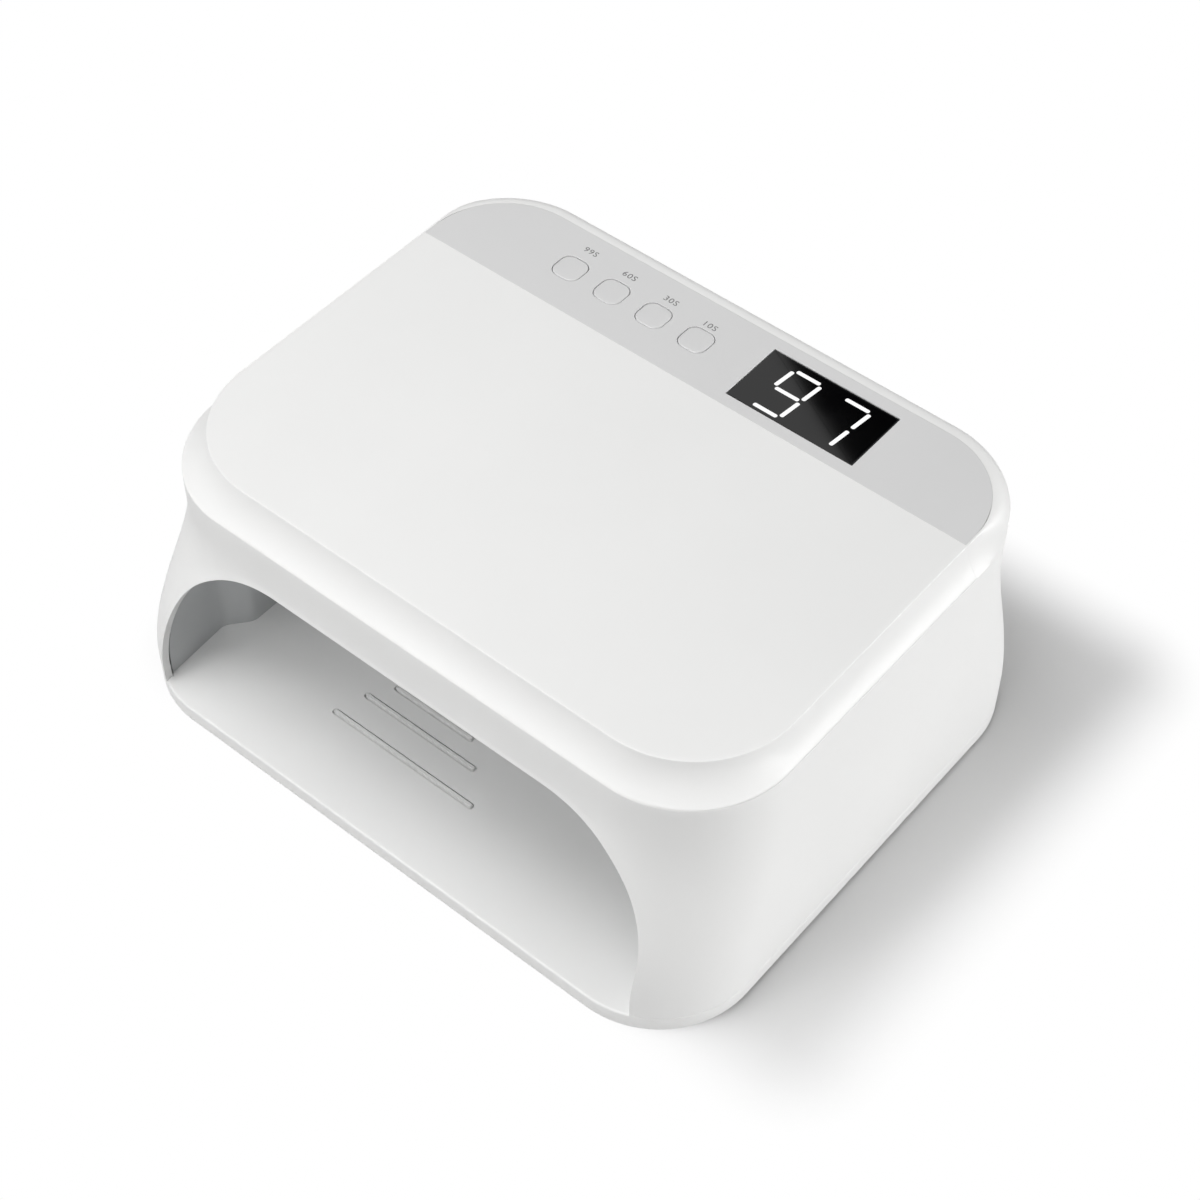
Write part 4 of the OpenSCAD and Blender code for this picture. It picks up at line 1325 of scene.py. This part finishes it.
class InletMaker(bpy.types.Operator):
    """Power inlet in the back: a black bushing round a bright pin"""

    bl_idname = "nail_lamp.inlet"
    bl_label = "Power inlet"

    def execute(self, context):
        bm = bmesh.new()
        chain(bm, [(INLET_X + r, INLET_MOUTH + y, INLET_Z) for r, y in BUSHING])
        bmesh.ops.spin(
            bm,
            geom=[*bm.edges, *bm.verts],
            cent=(INLET_X, 0, INLET_Z),
            axis=(0, 1, 0),
            angle=2 * math.pi,
            steps=48,
            use_merge=True,
        )
        merge(bm)
        outwards(bm)
        piece(bm, "inlet_bushing", "lamp", black_plastic(), replaces=["power_inlet"])
        bm = bmesh.new()
        drum(bm, PIN_RADIUS, PIN_LENGTH, (INLET_X, INLET_MOUTH - PIN_LENGTH / 2, INLET_Z), "Y", 24)
        tip = [e for e in bm.edges if all(v.co.y > INLET_MOUTH for v in e.verts)]
        soften(bm, tip, context.scene.lamp_form.fine_edge)
        piece(bm, "inlet_pin", "lamp", nickel())
        return {"FINISHED"}


class InsideMaker(bpy.types.Operator):
    """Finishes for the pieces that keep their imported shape: boards, lamps, screws, magnets"""

    bl_idname = "nail_lamp.inside"
    bl_label = "Inner pieces"

    def execute(self, context):
        zinc = plated_steel("steel_zinc_plated", "C4C6C9", 0.3, 6.0)
        white_board = circuit_board("solder_mask_white", "EDEEEA", "D8D9D4")
        green_board = circuit_board("solder_mask_green", "1F6B3A", "3E8F57")
        for made, nodes in (
            (zinc, ("strike_plates", "liner_screws", "cover_screws", "board_screws")),
            (nickel(), ("housing_magnets",)),
            (black_plastic(), ("display_module", "tact_switches", "hand_sensor")),
            (green_board, ("control_board",)),
            (white_board, ("roof_led_board", "side_led_boards")),
            (clear_epoxy("epoxy_cast_clear"), ("uv_leds",)),
        ):
            for node in nodes:
                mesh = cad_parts[node].data
                mesh.materials.clear()
                mesh.materials.append(made)
        return {"FINISHED"}


PIECES = (HousingMaker, CoverMaker, PanelMaker, KeysMaker, DisplayMaker, LinerMaker, BaseMaker, InletMaker, InsideMaker)


class StageMaker(bpy.types.Operator):
    """Pale floor, soft lights, surroundings and the camera"""

    bl_idname = "nail_lamp.stage"
    bl_label = "Stage"

    def execute(self, context):
        scene = context.scene
        look, light = scene.lamp_finish, scene.lamp_studio

        # matt paint, which to the camera turns white away from the lamp's shadow at the right and behind
        paint, tree, place = start("studio_floor_paint")
        coated(paint, {"Base Color": look.floor, "Roughness": 0.9, "Specular IOR Level": 0.0})
        for operation, value in (
            ("SUBTRACT", SHADE_MIDDLE),
            ("ABSOLUTE", None),
            ("SUBTRACT", SHADE_HALF),
            ("MAXIMUM", (0.0, 0.0, 0.0)),
        ):
            place = add(tree, "ShaderNodeVectorMath", {0: place, **({1: value} if value else {})}, operation=operation)
        away = add(tree, "ShaderNodeVectorMath", {0: place}, operation="LENGTH").outputs["Value"]
        ends = {"Value": away, "From Max": light.shadow_fade}
        faded = add(tree, "ShaderNodeMapRange", ends, interpolation_type="SMOOTHSTEP")
        seen = add(tree, "ShaderNodeLightPath").outputs["Is Camera Ray"]
        share = add(tree, "ShaderNodeMath", {0: seen, 1: faded}, operation="MULTIPLY")
        plain = add(tree, "ShaderNodeEmission", {"Color": WHITE, "Strength": 1.0})
        mix = add(tree, "ShaderNodeMixShader", {0: share, 1: tree.nodes["Principled BSDF"], 2: plain})
        wire(tree, tree.nodes["Material Output"], {"Surface": mix})
        bm = bmesh.new()
        bmesh.ops.create_grid(bm, x_segments=1, y_segments=1, size=FLOOR_HALF)
        floor = shown(bm, "studio_floor", paint)

        # even dim light from all round, which the camera, gloss and clear plastic see as white
        world = bpy.data.worlds.new("studio_surroundings")
        scene.world = world
        tree = bare(world)
        path = add(tree, "ShaderNodeLightPath").outputs
        seen = add(tree, "ShaderNodeMath", {0: path["Is Camera Ray"], 1: path["Is Glossy Ray"]}, operation="MAXIMUM")
        seen = add(tree, "ShaderNodeMath", {0: seen, 1: path["Is Transmission Ray"]}, operation="MAXIMUM")
        even = add(tree, "ShaderNodeBackground", {"Color": WHITE, "Strength": light.sky})
        plain = add(tree, "ShaderNodeBackground", {"Color": WHITE, "Strength": 1.0})
        mix = add(tree, "ShaderNodeMixShader", {0: seen, 1: even, 2: plain})
        add(tree, "ShaderNodeOutputWorld", {"Surface": mix})

        for name, place, size in LIGHTS:
            lamp = bpy.data.lights.new(name + "_light", "AREA")
            lamp.shape, lamp.size, lamp.size_y, lamp.energy = "RECTANGLE", *size, getattr(light, name)
            obj = bpy.data.objects.new(name + "_light", lamp)
            obj.location = place
            obj.rotation_euler = (Vector(AIM) - obj.location).to_track_quat("-Z", "Y").to_euler()
            scene.collection.objects.link(obj)

        # a flag of dull black cloth stands where the window mirrors its far half, seen only in gloss
        cloth = bpy.data.materials.new("flag_cloth_black")
        bare(cloth)
        coated(cloth, {"Base Color": BLACK, "Roughness": 1.0, "Specular IOR Level": 0.0})
        bm = bmesh.new()
        mirrored = Vector((EYE[0], EYE[1], 2 * WINDOW_HIGH.z - EYE[2]))
        patch = [Vector((x, y, WINDOW_HIGH.z)) - mirrored for x, y in FLAG_PATCH]
        bm.faces.new([bm.verts.new(mirrored + way * FLAG_REACH) for way in patch])
        flag = shown(bm, "window_flag", cloth)
        flag.visible_camera = flag.visible_diffuse = flag.visible_transmission = flag.visible_shadow = False

        camera = bpy.data.cameras.new("photo_camera")
        camera.sensor_width = SENSOR
        camera.lens = FOCAL_PIXELS / FRAME_PIXELS * SENSOR
        camera.shift_x = (FRAME_PIXELS / 2 - MIDDLE_PIXELS) / FRAME_PIXELS
        eye = bpy.data.objects.new("photo_camera", camera)
        eye.location = EYE
        eye.rotation_euler = (math.radians(90 - EYE_TILT), 0, math.radians(EYE_TURN))
        scene.collection.objects.link(eye)
        scene.camera = eye
        scene.view_settings.view_transform = "Standard"
        return {"FINISHED"}


class LampPanel(bpy.types.Panel):
    """Sizes, finishes and lights of the nail lamp, and a button for each group of its pieces"""

    bl_idname = "VIEW3D_PT_nail_lamp"
    bl_label = "Nail lamp"
    bl_space_type = "VIEW_3D"
    bl_region_type = "UI"
    bl_category = "Nail lamp"

    def draw(self, context):
        for kind in (*PIECES, StageMaker):
            self.layout.operator(kind.bl_idname)
        for title, group in (("Form", "lamp_form"), ("Finish", "lamp_finish"), ("Studio", "lamp_studio")):
            box = self.layout.box()
            box.label(text=title)
            settings = getattr(context.scene, group)
            for name in settings.__annotations__:
                box.prop(settings, name)


CLASSES = (LampForm, LampFinish, LampStudio, *PIECES, StageMaker, LampPanel)


def register():
    for kind in CLASSES:
        bpy.utils.register_class(kind)
    bpy.types.Scene.lamp_form = bpy.props.PointerProperty(type=LampForm)
    bpy.types.Scene.lamp_finish = bpy.props.PointerProperty(type=LampFinish)
    bpy.types.Scene.lamp_studio = bpy.props.PointerProperty(type=LampStudio)


def unregister():
    del bpy.types.Scene.lamp_studio
    del bpy.types.Scene.lamp_finish
    del bpy.types.Scene.lamp_form
    for kind in reversed(CLASSES):
        bpy.utils.unregister_class(kind)


def main():
    register()
    for kind in (*PIECES, StageMaker):
        group, name = kind.bl_idname.split(".")
        getattr(getattr(bpy.ops, group), name)()


if __name__ == "__main__":
    main()
